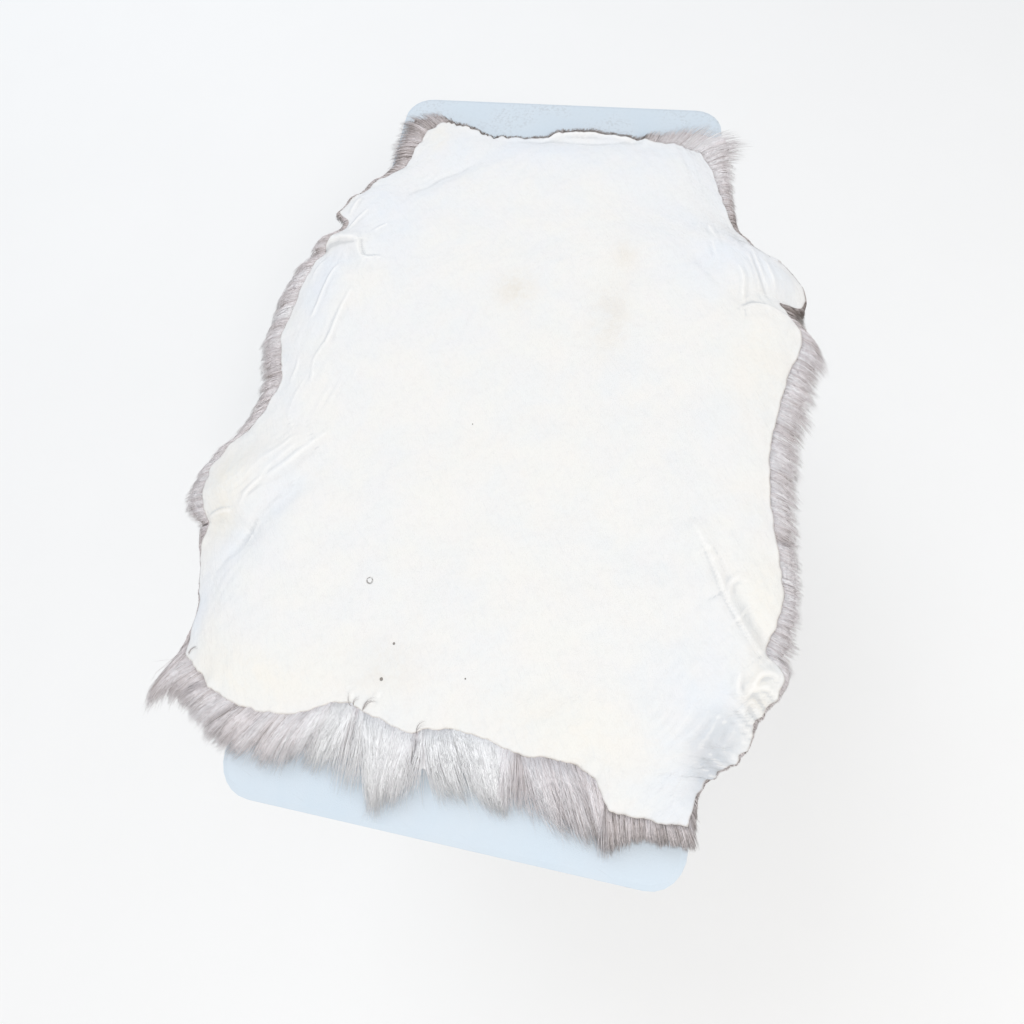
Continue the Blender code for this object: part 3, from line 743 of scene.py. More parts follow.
def new_piece(name, points, faces, material):
    """A mesh object from an array of points and a list of arrays of faces.

    Plan places are measured from the middle of the table top, so the points are moved there.
    """
    mesh = bpy.data.meshes.new(name)
    corners = np.concatenate([part.ravel() for part in faces])
    sizes = np.concatenate([np.full(len(part), part.shape[1]) for part in faces])
    mesh.vertices.add(len(points))
    mesh.vertices.foreach_set(
        "co", (points + (MIDDLE_X, MIDDLE_Y, 0.0)).astype(np.float32).ravel())
    mesh.loops.add(len(corners))
    mesh.loops.foreach_set("vertex_index", corners.astype(np.int32))
    mesh.polygons.add(len(sizes))
    mesh.polygons.foreach_set("loop_start", (np.cumsum(sizes) - sizes).astype(np.int32))
    mesh.polygons.foreach_set("use_smooth", np.full(len(sizes), True))
    mesh.update(calc_edges=True)
    mesh.materials.append(material)
    piece = new_object(name, mesh)
    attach(piece, "root")
    return piece


def set_attribute(piece, name, values):
    """One number for each point of the mesh."""
    attribute = piece.data.attributes.new(name, "FLOAT", "POINT")
    attribute.data.foreach_set("value", np.asarray(values, np.float32).ravel())


def set_map(piece, name, places):
    """A UV map from one place for each point of the mesh."""
    mesh = piece.data
    corner = np.empty(len(mesh.loops), np.int32)
    mesh.loops.foreach_get("vertex_index", corner)
    layer = mesh.uv_layers.new(name=name)
    layer.uv.foreach_set("vector", places[corner].astype(np.float32).ravel())


# ---------------------------------------------------------------- material tools


class Tree:
    """Adds nodes to a node tree, links them and sets their unlinked sockets."""

    def __init__(self, tree):
        self.tree = tree

    def add(self, kind, inputs=None, **values):
        """A new node with its own values set, and then its inputs."""
        node = self.tree.nodes.new(kind)
        for key, value in values.items():
            setattr(node, key, value)
        for key, value in (inputs or {}).items():
            self.put(node.inputs[key], value)
        return node

    def put(self, socket, value):
        """Links a socket to an input, or sets the input's value, opaque where it is a colour."""
        if isinstance(value, bpy.types.NodeSocket):
            self.tree.links.new(value, socket)
        elif hasattr(socket.default_value, "__len__") and len(socket.default_value) == 4:
            socket.default_value = (*value[:3], 1.0)
        else:
            socket.default_value = value

    def math(self, operation, a, b=0.0, clamp=False):
        """The result of an operation on two numbers."""
        node = self.add("ShaderNodeMath", {0: a, 1: b}, operation=operation, use_clamp=clamp)
        return node.outputs[0]

    def mix(self, factor, a, b):
        """Colour a at a factor of 0, and colour b at 1."""
        node = self.add("ShaderNodeMix", data_type="RGBA")
        self.put(node.inputs[0], factor)
        self.put(node.inputs[6], a)
        self.put(node.inputs[7], b)
        return node.outputs[2]

    def span(self, value, low, high, to_low=0.0, to_high=1.0):
        """A value mapped from one range to another, smoothly and clamped."""
        inputs = {0: value, 1: low, 2: high, 3: to_low, 4: to_high}
        return self.add("ShaderNodeMapRange", inputs, interpolation_type="SMOOTHSTEP").outputs[0]

    def noise(self, vector, scale, detail=3.0, roughness=0.5, distortion=0.0):
        """A noise from 0 to 1, with scale waves to the metre."""
        inputs = {
            "Vector": vector, "Scale": scale, "Detail": detail, "Roughness": roughness,
            "Distortion": distortion}
        return self.add("ShaderNodeTexNoise", inputs).outputs["Fac"]

    def attribute(self, name):
        """A number that the mesh holds for each of its points."""
        return self.add("ShaderNodeAttribute", attribute_name=name).outputs["Fac"]

    def place(self):
        """The place on the object, in metres."""
        return self.add("ShaderNodeTexCoord").outputs["Object"]

    def group(self, builder, *values):
        """The output of a shared group, with its inputs set in their order."""
        inputs = dict(enumerate(values))
        return self.add("ShaderNodeGroup", inputs, node_tree=shared(builder)).outputs[0]


def new_group(name, vectors, numbers, output):
    """An empty node group with named vector and number inputs and one number as its output."""
    tree = bpy.data.node_groups.new(name, "ShaderNodeTree")
    for label in vectors:
        tree.interface.new_socket(label, in_out="INPUT", socket_type="NodeSocketVector")
    for label, default in numbers.items():
        made = tree.interface.new_socket(label, in_out="INPUT", socket_type="NodeSocketFloat")
        made.default_value = default
    tree.interface.new_socket(output, in_out="OUTPUT", socket_type="NodeSocketFloat")
    source = tree.nodes.new("NodeGroupInput")
    target = tree.nodes.new("NodeGroupOutput")
    return Tree(tree), source.outputs, target.inputs[0]


def blotch_group():
    """Soft uneven blotches as a mask: two noises of unlike size, sharpened by Contrast."""
    t, given, out = new_group(
        "Blotches", ["Vector"], {"Per Metre": 8.0, "Contrast": 0.2}, "Mask")
    large = t.noise(given["Vector"], given["Per Metre"], 4.0, 0.55, 0.3)
    small = t.noise(given["Vector"], t.math("MULTIPLY", given["Per Metre"], 5.3), 3.0)
    both = t.math("ADD", t.math("MULTIPLY", large, 0.75), t.math("MULTIPLY", small, 0.25))
    low = t.math("SUBTRACT", 0.5, given["Contrast"])
    high = t.math("ADD", 0.5, given["Contrast"])
    t.put(out, t.span(both, low, high))
    return t.tree


def grain_group():
    """Fine grain as a height: rounded cells with a little noise over them."""
    t, given, out = new_group("Grain", ["Vector"], {"Per Metre": 300.0, "Cells": 0.5}, "Height")
    cells = t.add(
        "ShaderNodeTexVoronoi",
        {"Vector": given["Vector"], "Scale": given["Per Metre"]}).outputs["Distance"]
    fine = t.noise(given["Vector"], t.math("MULTIPLY", given["Per Metre"], 1.7), 4.0, 0.6)
    mixed = t.add("ShaderNodeMix", {0: given["Cells"], 2: fine, 3: cells}, data_type="FLOAT")
    t.put(out, mixed.outputs[0])
    return t.tree


def streak_group():
    """Long thin streaks as a mask: noise read through coordinates stretched along one line."""
    t, given, out = new_group(
        "Streaks", ["Vector"], {"Angle": 0.0, "Per Metre": 200.0, "Stretch": 12.0}, "Mask")
    turned = t.add(
        "ShaderNodeVectorRotate", {"Vector": given["Vector"], "Angle": given["Angle"]},
        rotation_type="Z_AXIS").outputs[0]
    length = t.math("DIVIDE", given["Per Metre"], given["Stretch"])
    scale = t.add("ShaderNodeCombineXYZ", {0: length, 1: given["Per Metre"], 2: length})
    stretched = t.add(
        "ShaderNodeVectorMath", {0: turned, 1: scale.outputs[0]}, operation="MULTIPLY")
    t.put(out, t.noise(stretched.outputs[0], 1.0, 3.0, 0.6, 0.2))
    return t.tree


def hole_group():
    """A small round mark as a mask, 1 inside the Radius round a Place."""
    t, given, out = new_group("Hole", ["Vector", "Place"], {"Radius": 0.002}, "Mask")
    gap = t.add(
        "ShaderNodeVectorMath", {0: given["Vector"], 1: given["Place"]}, operation="DISTANCE")
    inner = t.math("MULTIPLY", given["Radius"], 0.6)
    t.put(out, t.math("SUBTRACT", 1.0, t.span(gap.outputs["Value"], inner, given["Radius"])))
    return t.tree


def shared(builder):
    """A node group made by builder the first time it is wanted."""
    made = bpy.data.node_groups.get(builder.__name__)
    if made is None:
        made = builder()
        made.name = builder.__name__
    return made


def new_material(name, **values):
    """A material with a Principled BSDF, its node tree and the shader's uniform values set."""
    sockets = {
        "gloss": "Specular IOR Level", "metallic": "Metallic", "roughness": "Roughness",
        "sheen": "Sheen Weight", "sheen_roughness": "Sheen Roughness"}
    material = bpy.data.materials.new(name)
    material.use_nodes = True
    t = Tree(material.node_tree)
    shader = material.node_tree.nodes["Principled BSDF"]
    for key, value in values.items():
        t.put(shader.inputs[sockets[key]], value)
    return material, t, shader


def set_surface(t, shader, colour, roughness, layers=()):
    """Links colour, roughness and bumps to a shader.

    The bumps lie one over the other, each a height socket with its depth in metres.
    """
    t.put(shader.inputs["Base Color"], colour)
    t.put(shader.inputs["Roughness"], roughness)
    normal = None
    for height, depth in layers:
        inputs = {"Height": height, "Distance": depth, "Strength": 1.0}
        if normal is not None:
            inputs["Normal"] = normal
        normal = t.add("ShaderNodeBump", inputs).outputs[0]
    if normal is not None:
        t.put(shader.inputs["Normal"], normal)


# Colours that the leather nears: painted shadow; its own pink patches, stains, fibres and flecks;
# painted shade in hollows and painted highlight on crests; the tan of its rim, with a painted
# shadow line there; and painted shade in its holes.
SHADED_LEATHER = (0.56, 0.60, 0.65)
PINK_LEATHER = (0.90, 0.80, 0.80)
STAINED_LEATHER = (0.72, 0.66, 0.56)
LEATHER_FIBRE = (0.62, 0.66, 0.72)
LEATHER_FLECK = (0.66, 0.62, 0.58)
HOLLOW_SHADE = (0.58, 0.60, 0.62)
CREST_HIGHLIGHT = (0.95, 0.94, 0.92)
RIM_TAN_AND_SHADE = (0.52, 0.43, 0.34)
HOLE_SHADE_BROWN = (0.16, 0.13, 0.11)
SCAR_STRENGTH = 1.3
HOLE_STRENGTH = 0.8


def leather_material(skin):
    """Tanned flesh side: cream with bluish mottling, stains and a tan rim; painted bluish shade
    and shadow, painted yellowish light, painted shade in hollows, in holes and along the rim, and
    painted highlight on crests.
    """
    material, t, shader = new_material(
        "leather", sheen=0.12, sheen_roughness=0.5, gloss=0.25)
    flat = t.add("ShaderNodeUVMap", uv_map="flat").outputs[0]
    plan = t.add("ShaderNodeUVMap", uv_map="plan").outputs[0]
    broad = t.group(blotch_group, flat, 9.0, 0.16)
    patch = t.group(blotch_group, flat, 24.0, 0.12)
    fleck = t.group(blotch_group, flat, 95.0, 0.14)
    # Painted bluish shade on slopes turned from the light; past 1 it turns to painted shadow.
    cool = t.math("MINIMUM", t.attribute("cool"), 1.0)
    cool = t.math("MULTIPLY", cool, t.span(broad, 0.0, 1.0, 0.65, 1.0))
    warm = t.math("MULTIPLY", t.attribute("warm"), t.span(patch, 0.0, 1.0, 0.55, 1.0))
    colour = t.mix(t.math("MULTIPLY", broad, 0.45), skin.colour, skin.cool_tone_and_shade)
    colour = t.mix(cool, colour, skin.cool_tone_and_shade)
    shadow = t.span(t.attribute("cool"), 1.0, 2.2)
    colour = t.mix(shadow, colour, SHADED_LEATHER)
    # Painted yellowish light on slopes turned to the light.
    colour = t.mix(warm, colour, skin.warm_light_colour)
    colour = t.mix(t.math("MULTIPLY", patch, 0.10), colour, PINK_LEATHER)
    stain = t.math("MULTIPLY", t.attribute("stain"), t.span(patch, 0.1, 0.9, 0.4, 1.0))
    colour = t.mix(stain, colour, STAINED_LEATHER)
    line = t.group(streak_group, flat, 0.9, 260.0, 9.0)
    colour = t.mix(t.span(line, 0.52, 0.72, 0.0, 0.10), colour, LEATHER_FIBRE)
    colour = t.mix(t.span(fleck, 0.55, 1.0, 0.0, 0.07), colour, LEATHER_FLECK)
    # Painted shade in the hollows of folds and creases, painted highlight on their crests.
    hollow = t.attribute("hollow")
    colour = t.mix(t.span(hollow, 0.08, 1.0, 0.0, 0.55), colour, HOLLOW_SHADE)
    colour = t.mix(t.span(hollow, -0.9, -0.1, 0.45, 0.0), colour, CREST_HIGHLIGHT)
    # Tan of the cut rim, with a painted shadow line along it.
    rim = t.math("ADD", t.attribute("rim"), t.math("MULTIPLY", fleck, 0.0008))
    colour = t.mix(t.span(rim, 0.0004, 0.0022, 0.32, 0.0), colour, RIM_TAN_AND_SHADE)
    # The holes are not cut: their dark brown is painted shade, and a scar leaves only a dark ring.
    marks = 0.0
    for x, y, radius, scar in HOLES:
        mark = t.group(hole_group, plan, (x, y, 0.0), radius)
        if scar:
            healed = t.group(hole_group, plan, (x, y, 0.0), scar)
            outline = t.math("SUBTRACT", mark, t.math("MULTIPLY", healed, SCAR_STRENGTH))
            uneven = t.span(fleck, 0.2, 0.7, 0.25, 0.95)
            mark = t.math("MULTIPLY", t.math("MAXIMUM", outline, 0.0), uneven)
        marks = t.math("ADD", marks, mark, clamp=True)
    colour = t.mix(t.math("MULTIPLY", marks, HOLE_STRENGTH), colour, HOLE_SHADE_BROWN)
    fine = t.group(grain_group, flat, 420.0, 0.35)
    soft = t.group(grain_group, flat, 70.0, 0.25)
    unmarked = t.math("SUBTRACT", 1.0, marks)
    set_surface(t, shader, colour, t.span(fleck, 0.0, 1.0, 0.66, 0.82), (
        (soft, 0.0016), (line, 0.0007), (fine, 0.00028), (unmarked, 0.0012)))
    return material


# The hair's colour by its tone.
HAIR_TONES = (
    (0.00, (0.090, 0.072, 0.062)),
    (0.25, (0.300, 0.255, 0.240)),
    (0.45, (0.620, 0.565, 0.560)),
    (0.65, (0.840, 0.795, 0.810)),
    (0.88, (0.945, 0.935, 0.955)),
    (1.00, (0.985, 0.990, 1.000)),
)


def hair_ramp(t, tone):
    """The hair's colour for a tone, from dark brown over grey mauve to white."""
    ramp = t.add("ShaderNodeValToRGB", {0: tone})
    while len(ramp.color_ramp.elements) < len(HAIR_TONES):
        ramp.color_ramp.elements.new(0.5)
    for element, (place, colour) in zip(ramp.color_ramp.elements, HAIR_TONES):
        element.position = place
        element.color = (*colour, 1.0)
    return ramp.outputs[0]


def hair_material():
    """Hollow reindeer hair: the tone sets its colour, darker at the root, partly as painted shade
    under the leather's edge.
    """
    material, t, shader = new_material(
        "reindeer_hair", sheen=0.5, sheen_roughness=0.35, gloss=0.30)
    along = t.attribute("along")
    # Darker roots, partly painted shade under the leather's edge.
    root = t.span(along, 0.0, 0.15, -0.08, 0.0)
    tone = t.math("ADD", t.attribute("tone"), root)
    set_surface(t, shader, hair_ramp(t, tone), t.span(along, 0.0, 1.0, 0.75, 0.55))
    return material


def pile_material():
    """The dense hair between the locks and under the skin, streaked along its lie."""
    material, t, shader = new_material("dense_hair", gloss=0.2)
    lie = t.add("ShaderNodeUVMap", uv_map="lie").outputs[0]
    fine = t.group(streak_group, lie, math.pi / 2, 900.0, 22.0)
    wide = t.group(streak_group, lie, math.pi / 2, 210.0, 9.0)
    shade = t.math("ADD", t.span(fine, 0.3, 0.7, -0.20, 0.04), t.span(wide, 0.3, 0.7, -0.12, 0.04))
    tone = t.math("ADD", t.attribute("tone"), shade)
    set_surface(t, shader, hair_ramp(t, tone), t.span(fine, 0.2, 0.8, 0.95, 0.75),
                ((wide, 0.003), (fine, 0.0012)))
    return material


# Where the table starts to turn greyer towards its far end, and where it is fully so, along the
# table.
FAR_GREY_START = 0.46
FAR_GREY_FULL = 0.56
PALE_PLASTIC = (0.70, 0.75, 0.80)
SCUFF_GREY = (0.38, 0.40, 0.42)
FAR_END_GREY = (0.42, 0.45, 0.48)
RUBBED_STEEL = (0.22, 0.23, 0.24)
DUST = (0.16, 0.15, 0.14)


def worn_finish(name, colour, worn, spots, rough, grain, **values):
    """A hard finish that nears a worn colour in soft blotches, where it is rougher.

    spots holds the blotches' number per metre, contrast and strength, rough the least and the
    most roughness, and grain the grains' number per metre, cells and depth. Returns the
    material, its tree and shader, the blotches and the colour.
    """
    material, t, shader = new_material(name, **values)
    dull = t.group(blotch_group, t.place(), *spots[:2])
    colour = t.mix(t.math("MULTIPLY", dull, spots[2]), colour, worn)
    height = t.group(grain_group, t.place(), *grain[:2])
    set_surface(t, shader, colour, t.span(dull, 0.0, 1.0, *rough), ((height, grain[2]),))
    return material, t, shader, dull, colour


def plastic_material(table):
    """Blow-moulded plastic: pale, finely pebbled, rubbed grey marks, and greyer and speckled
    towards the far end.
    """
    material, t, shader, dull, colour = worn_finish(
        "moulded_plastic_top", table.plastic, PALE_PLASTIC, (7.0, 0.2, 0.4), (0.42, 0.58),
        (650.0, 0.7, 0.00022), gloss=0.4)
    place = t.place()
    scuff = t.group(streak_group, place, 0.35, 240.0, 30.0)
    scuffs = t.math("MULTIPLY", t.span(scuff, 0.62, 0.78), t.span(dull, 0.3, 0.9))
    colour = t.mix(t.math("MULTIPLY", scuffs, 0.35), colour, SCUFF_GREY)
    far_greying = t.group(blotch_group, place, 170.0, 0.14)
    along = t.add("ShaderNodeSeparateXYZ", {0: place}).outputs["Y"]
    far_end = t.span(along, FAR_GREY_START, FAR_GREY_FULL)
    specks = t.math("MULTIPLY", t.span(far_greying, 0.60, 0.85), t.span(dull, 0.40, 0.75, 0.04, 0.26))
    far_greying = t.math("MULTIPLY", t.math("ADD", specks, 0.12), far_end)
    t.put(shader.inputs["Base Color"], t.mix(far_greying, colour, FAR_END_GREY))
    return material


def steel_material(table):
    """Powder-coated tube: satin grey with fine orange peel and rubbed spots."""
    return worn_finish(
        "powder_coated_steel", table.steel, RUBBED_STEEL, (30.0, 0.15, 0.35), (0.32, 0.50),
        (900.0, 0.3, 0.00012), metallic=0.25)[0]


def rubber_material(table):
    """Dusty black rubber."""
    return worn_finish(
        "foot_rubber", table.rubber, DUST, (90.0, 0.2, 0.4), (0.7, 0.95),
        (700.0, 0.4, 0.0002), gloss=0.3)[0]


# ---------------------------------------------------------------- pieces


# How far off the surroundings of a hollow are taken, and how deep a full hollow is. By this
# measure the leather is painted with shade in hollows and a highlight on crests.
HOLLOW_REACH = 0.004
HOLLOW_DEPTH = 0.0008


def detail(x, y):
    """Height of the folds, creases and wrinkles together."""
    return folds(x, y) + creases(x, y) + wrinkles(x, y)


def hollowness(x, y):
    """How far a place lies below its surroundings, 1 for HOLLOW_DEPTH, -1 for as far above."""
    d = HOLLOW_REACH
    around = detail(x + d, y) + detail(x - d, y) + detail(x, y + d) + detail(x, y - d)
    return np.clip((around / 4 - detail(x, y)) / HOLLOW_DEPTH, -1.0, 1.0)


# The strongest tint: past 1 the painted bluish shade turns to painted shadow.
MOST_TINT = 2.4


def make_skin(skin):
    """The leather: the patch between the four edges, at the height of the hair under it."""
    columns, rows = skin.columns, skin.rows
    u, v = spaced(columns, COLUMN_CROWDS), spaced(rows, ROW_CROWDS)
    x, y, to_rim = patch_grid(edge_lines(skin.raggedness), u, v)
    z = bed(x, y) + skin_rise(x, y, to_rim, skin)
    points = np.stack([x, y, z], axis=1)
    piece = new_piece(
        "hide_skin", points, [grid_faces(columns, rows)], leather_material(skin))
    grid = points.reshape(rows + 1, columns + 1, 3)
    across = np.linalg.norm(np.diff(grid, axis=1, prepend=grid[:, :1]), axis=2).cumsum(axis=1)
    along = np.linalg.norm(np.diff(grid, axis=0, prepend=grid[:1]), axis=2).cumsum(axis=0)
    across -= across[:, columns // 2, None]
    along -= along[rows // 2]
    set_map(piece, "flat", np.stack([across.ravel(), along.ravel()], axis=1))
    set_map(piece, "plan", np.stack([x, y], axis=1))
    # Painted bluish shade, painted yellowish light and real stains, summed from the tints.
    tints = np.zeros((3, len(x)))
    for tx, ty, wide, tall, *amounts in TINTS:
        spot = np.exp(-(((x - tx) / wide) ** 2) - ((y - ty) / tall) ** 2)
        tints += np.array(amounts)[:, None] * spot
    for name, values in zip(("cool", "warm", "stain"), np.clip(tints, 0, MOST_TINT)):
        set_attribute(piece, name, values)
    set_attribute(piece, "rim", to_rim)
    # How hollow each place is, for painted shade in hollows and painted highlight on crests.
    set_attribute(piece, "hollow", hollowness(x, y))
    wall = piece.modifiers.new("Thickness", "SOLIDIFY")
    wall.thickness = skin.thickness
    wall.offset = -1.0
    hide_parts("hide")
    return piece


# The slab of dense hair: its cells, how far below the leather it stays at the rim and how
# much further inside, over what distance, its least height and its tone.
PILE_COLUMNS = 60
PILE_ROWS = 76
PILE_CLEARANCE = 0.004
PILE_SINK = 0.012
PILE_SINK_REACH = 0.035
PILE_LEAST = 0.002
PILE_TONE = 0.42


def make_pile(skin, material):
    """The dense hair under the skin as one closed slab on the bed, a clearance below the skin."""
    u, v = np.linspace(0, 1, PILE_COLUMNS + 1), np.linspace(0, 1, PILE_ROWS + 1)
    x, y, to_rim = patch_grid(edge_lines(skin.raggedness), u, v)
    clearance = PILE_CLEARANCE + PILE_SINK * smooth_step(to_rim, 0.0, PILE_SINK_REACH)
    low = bed(x, y)
    high = low + np.maximum(skin_rise(x, y, to_rim, skin) - clearance, PILE_LEAST)
    index = np.arange((PILE_COLUMNS + 1) * (PILE_ROWS + 1)).reshape(PILE_ROWS + 1, -1)
    around = np.concatenate([index[0, :-1], index[:-1, -1], index[-1, :0:-1], index[:0:-1, 0]])
    quads, total = grid_faces(PILE_COLUMNS, PILE_ROWS), index.size
    after = np.roll(around, -1)
    side = np.stack([around, around + total, after + total, after], axis=1)
    points = np.concatenate([np.stack([x, y, high], axis=1), np.stack([x, y, low], axis=1)])
    piece = new_piece(
        "hide_pile", points, [np.concatenate([quads, quads[:, ::-1] + total, side])], material)
    set_attribute(piece, "tone", np.full(len(points), PILE_TONE))
    set_map(piece, "lie", points[:, :2])


# Joined meshes of strands: name, edge, the stretch of it as shares, and places on each strand.
FRINGES = (
    ("hair_left", LEFT, (0, 1), 4),
    ("hair_right", RIGHT, (0, 1), 4),
    ("hair_rump_left", RUMP, (0, 1 / 3), 5),
    ("hair_rump_middle", RUMP, (1 / 3, 2 / 3), 5),
    ("hair_rump_right", RUMP, (2 / 3, 1), 5),
    # Partings of the hair: place on the skin's edge, half-width and how deep each opens; a parting
    # is also painted darker near the root, as shade in it.
    ("hair_neck", NECK, (0, 1), 4),
)
HAIR_PIECES = ("hide_pile", "hair_base", *(row[0] for row in FRINGES), "hair_wisps")
# How far inside the cut edge the upper and the lower hairs start, and how much higher than the
# leather's underside the hair stands at the edge.
EDGE_INSET = 0.0006
HAIR_INSET = 0.010
ROOT_RISE = 0.0030
# Share of strays and of strands in the lower locks, how much lower those lie, and how far
# below the leather they start.
STRAY_SHARE = 0.03
UNDER_SHARE = 0.42
UNDER_DROP = 0.0015
UNDER_SKIN = 0.0012
# A strand's reach as a share of its lock's, the longest and how much less the shortest; how
# it turns, and how far it lies above or below the others.
STRAND_REACH = 1.10
STRAND_LESS = 0.46
STRAND_TURN = 0.08
STRAND_LIFT = 0.0010
# How much the tone of strands differs, and how much darker the deepest and the lower ones are
# painted, as shade deep in the hair and under the leather.
TONE_SPREAD = 0.075
DEPTH_PAINTED_SHADE = 0.18
UNDER_PAINTED_SHADE = 0.04
# Share of long dark guard hairs, and how much darker they are.
GUARD_SHARE = 0.07
GUARD_SHADE = 0.50
# How much darker a lock is painted at its borders, as shade between locks.
BORDER_PAINTED_SHADE = 0.12
# Least and most width of a lock, how much shorter it is at its borders, and how much its
# reach, turn, bend and tone differ.
LOCK_LEAST = 0.0035
LOCK_MOST = 0.027
LOCK_NOTCH = 0.16
LOCK_REACH = (0.86, 1.12)
LOCK_TURN = 0.12
LOCK_BEND = 0.10
LOCK_TONE = 0.04
# Hair of this length or more is pulled together in full, and shorter hair less, down to a share.
FULL_HAIR = 0.080
LEAST_PULL = 0.25
# A lock's puff: the most for long hair beside the usual, and the share that every lock has.
MOST_PUFF = 1.4
COMMON_PUFF = 0.4
# How near the end of its quarter ellipse the hair's top comes where it doesn't stand, 1 for the
# end on the bed, and the least height that it keeps.
TOP_FALL = 0.97
TOP_LEAST = 0.001
# The ring under the cut edge. It starts inside the edge, and has steps outwards over it and
# back under it; at those under it, its height and how far its tone nears the pile's. Then how
# far it stays below the top of the hair: everywhere, more between locks, at least above the
# bed, and inside the edge.
BASE_ORDER = ((RUMP, False), (RIGHT, False), (NECK, True), (LEFT, True))
BASE_INSET = 0.016
BASE_STEPS = (0.0, 0.10, 0.22, 0.36, 0.50, 0.64, 0.78, 0.90, 1.0)
BASE_UNDER = (1.0, 0.5, 0.0)
BASE_RISE = (0.85, 0.35, 0.0)
BASE_BLEND = (0.1, 0.7, 1.0)
BASE_DROP = 0.0012
BASE_VALLEY = 0.0015
BASE_LEAST = 0.0008
BASE_INSIDE = 0.005
BASE_REACH = 0.62
BASE_PULL = 0.15
# How much darker the ring is painted between two locks, as shade there.
BASE_PAINTED_SHADE = 0.06
# How much darker the tips are than the rest, for the left, right, rump and neck edges.
TIP_SHADE = (0.30, 0.32, 0.04, 0.10)
# How much of its height the hair keeps to its tips, along the same edges.
EDGE_STAND = (0.35, 0.12, 0.0, 0.75)
PARTING_DEPTH = 0.010
# How much darker a parting is painted near the root, as shade in it.
PARTING_PAINTED_SHADE = 0.34


def make_locks(line, hair, seed):
    """Locks of hair along an edge: their borders, and a row for each.

    A lock is as wide at its root as a share of the hair's length there. A row holds its
    middle, reach, turn, bend, tone and lift, each drawn at random round its usual value.
    """
    rng = np.random.default_rng(seed)
    gap = np.linalg.norm(np.diff(line[:, :2], axis=0), axis=1)
    reach = np.linalg.norm(line[:, 2:4] - line[:, :2], axis=1)
    width = np.clip(hair.lock_size * reach, LOCK_LEAST, LOCK_MOST)
    passed = np.concatenate([[0.0], np.cumsum(2 * gap / (width[1:] + width[:-1]))])
    number = max(int(passed[-1]), 1)
    borders = np.arange(number + 1) + rng.uniform(-0.44, 0.44, number + 1)
    borders[0], borders[-1] = 0, number
    borders = np.interp(borders * passed[-1] / number, passed, np.linspace(0, 1, len(line)))
    middle = (borders[1:] + borders[:-1]) / 2
    middle += rng.uniform(-0.2, 0.2, number) * np.diff(borders)
    lengths = rng.uniform(*LOCK_REACH, number)
    spreads = [rng.normal(0, spread, number) for spread in (LOCK_TURN, LOCK_BEND, LOCK_TONE)]
    return borders, np.stack([middle, lengths, *spreads, rng.uniform(0, 1, number)], axis=1)


def hair_edges(skin, hair):
    """The left, right, rump and neck edges, each with its upper and lower locks and its stand."""
    return [
        (line, [make_locks(line, hair, hair.seed + n + 50 * layer) for layer in range(2)],
         EDGE_STAND[n])
        for n, line in enumerate(edge_lines(skin.raggedness))]


def lay_hair(edge, layer, s, t, reach, spread, pull, skin, hair):
    """Plan paths of hairs rooted at shares s of an edge, and what follows from them.

    A hair runs from the cut edge towards the hair's tips, shorter between two locks. Its path
    leans towards the middle path of its lock by pull t^1.8, less for short hair. The top of
    the hair falls from the cut edge to the bed as a quarter ellipse, and the locks puff up in
    between. Returns the plan, the bed's height, the top's height, the tone, the place across
    the lock, and how near the hair is to a parting.
    """
    line, locks, stand = edge
    borders, rows = locks[layer]
    lock = np.clip(np.searchsorted(borders, s, side="right") - 1, 0, len(rows) - 1)
    phase = 2 * (s - borders[lock]) / (borders[lock + 1] - borders[lock]) - 1
    middle, lock_reach, turn, bend, tone, lift = rows[lock].T
    own, centre = along_line(line, s), along_line(line, middle)
    full = own[:, 2:4] - own[:, :2]
    length = np.linalg.norm(full, axis=1)
    share = lock_reach * (1 - LOCK_NOTCH * np.abs(phase) ** 1.4) * reach
    own_run = turned(full, spread) * share[:, None]
    middle_run = turned(centre[:, 2:4] - centre[:, :2], turn) * share[:, None]
    across = np.stack([-middle_run[:, 1], middle_run[:, 0]], axis=1) * bend[:, None]
    t = np.asarray(t)[None, :, None]
    grown = np.clip(length / FULL_HAIR, LEAST_PULL, 1.0)
    lean = (pull * grown)[:, None, None] * t**1.8
    own_path = own[:, None, :2] + own_run[:, None] * t
    middle_path = centre[:, None, :2] + middle_run[:, None] * t + across[:, None] * t**2
    plan = own_path * (1 - lean) + middle_path * lean
    gone = np.linalg.norm(plan - own[:, None, :2], axis=2) / length[:, None]
    gone = np.clip(gone * t[..., 0] ** 0.2, 0.0, 1.0)
    low = bed(plan[..., 0], plan[..., 1])
    root = skin_rise(own[:, 0], own[:, 1], np.zeros(len(s)), skin) - skin.thickness + ROOT_RISE
    fall = (root - TIP_THICKNESS)[:, None] * np.sqrt(1 - TOP_FALL * (1 - stand) * gone**2)
    puff = hair.puff * np.minimum(length / FULL_HAIR, MOST_PUFF)
    puff = puff * (COMMON_PUFF + (1 - COMMON_PUFF) * lift)
    puff = puff[:, None] * np.sin(np.pi * gone**0.7)
    open_here = np.zeros(len(s))
    for x0, y0, width, deep in PARTINGS:
        open_here += deep * np.exp(-(((own[:, 0] - x0) ** 2 + (own[:, 1] - y0) ** 2) / width**2))
    dip = PARTING_DEPTH * open_here[:, None] * np.sin(np.pi * gone**0.6)
    top = low + TIP_THICKNESS / 2 + np.maximum(fall + puff - dip, TOP_LEAST)
    return plan, low, top, own[:, 4] + tone, phase, open_here


def under_skin(plan, inset, skin):
    """The height just below the leather at places inset from its edge."""
    x, y = plan[:, 0], plan[:, 1]
    rise = skin_rise(x, y, np.full(len(x), inset), skin)
    return bed(x, y) + rise - skin.thickness - UNDER_SKIN


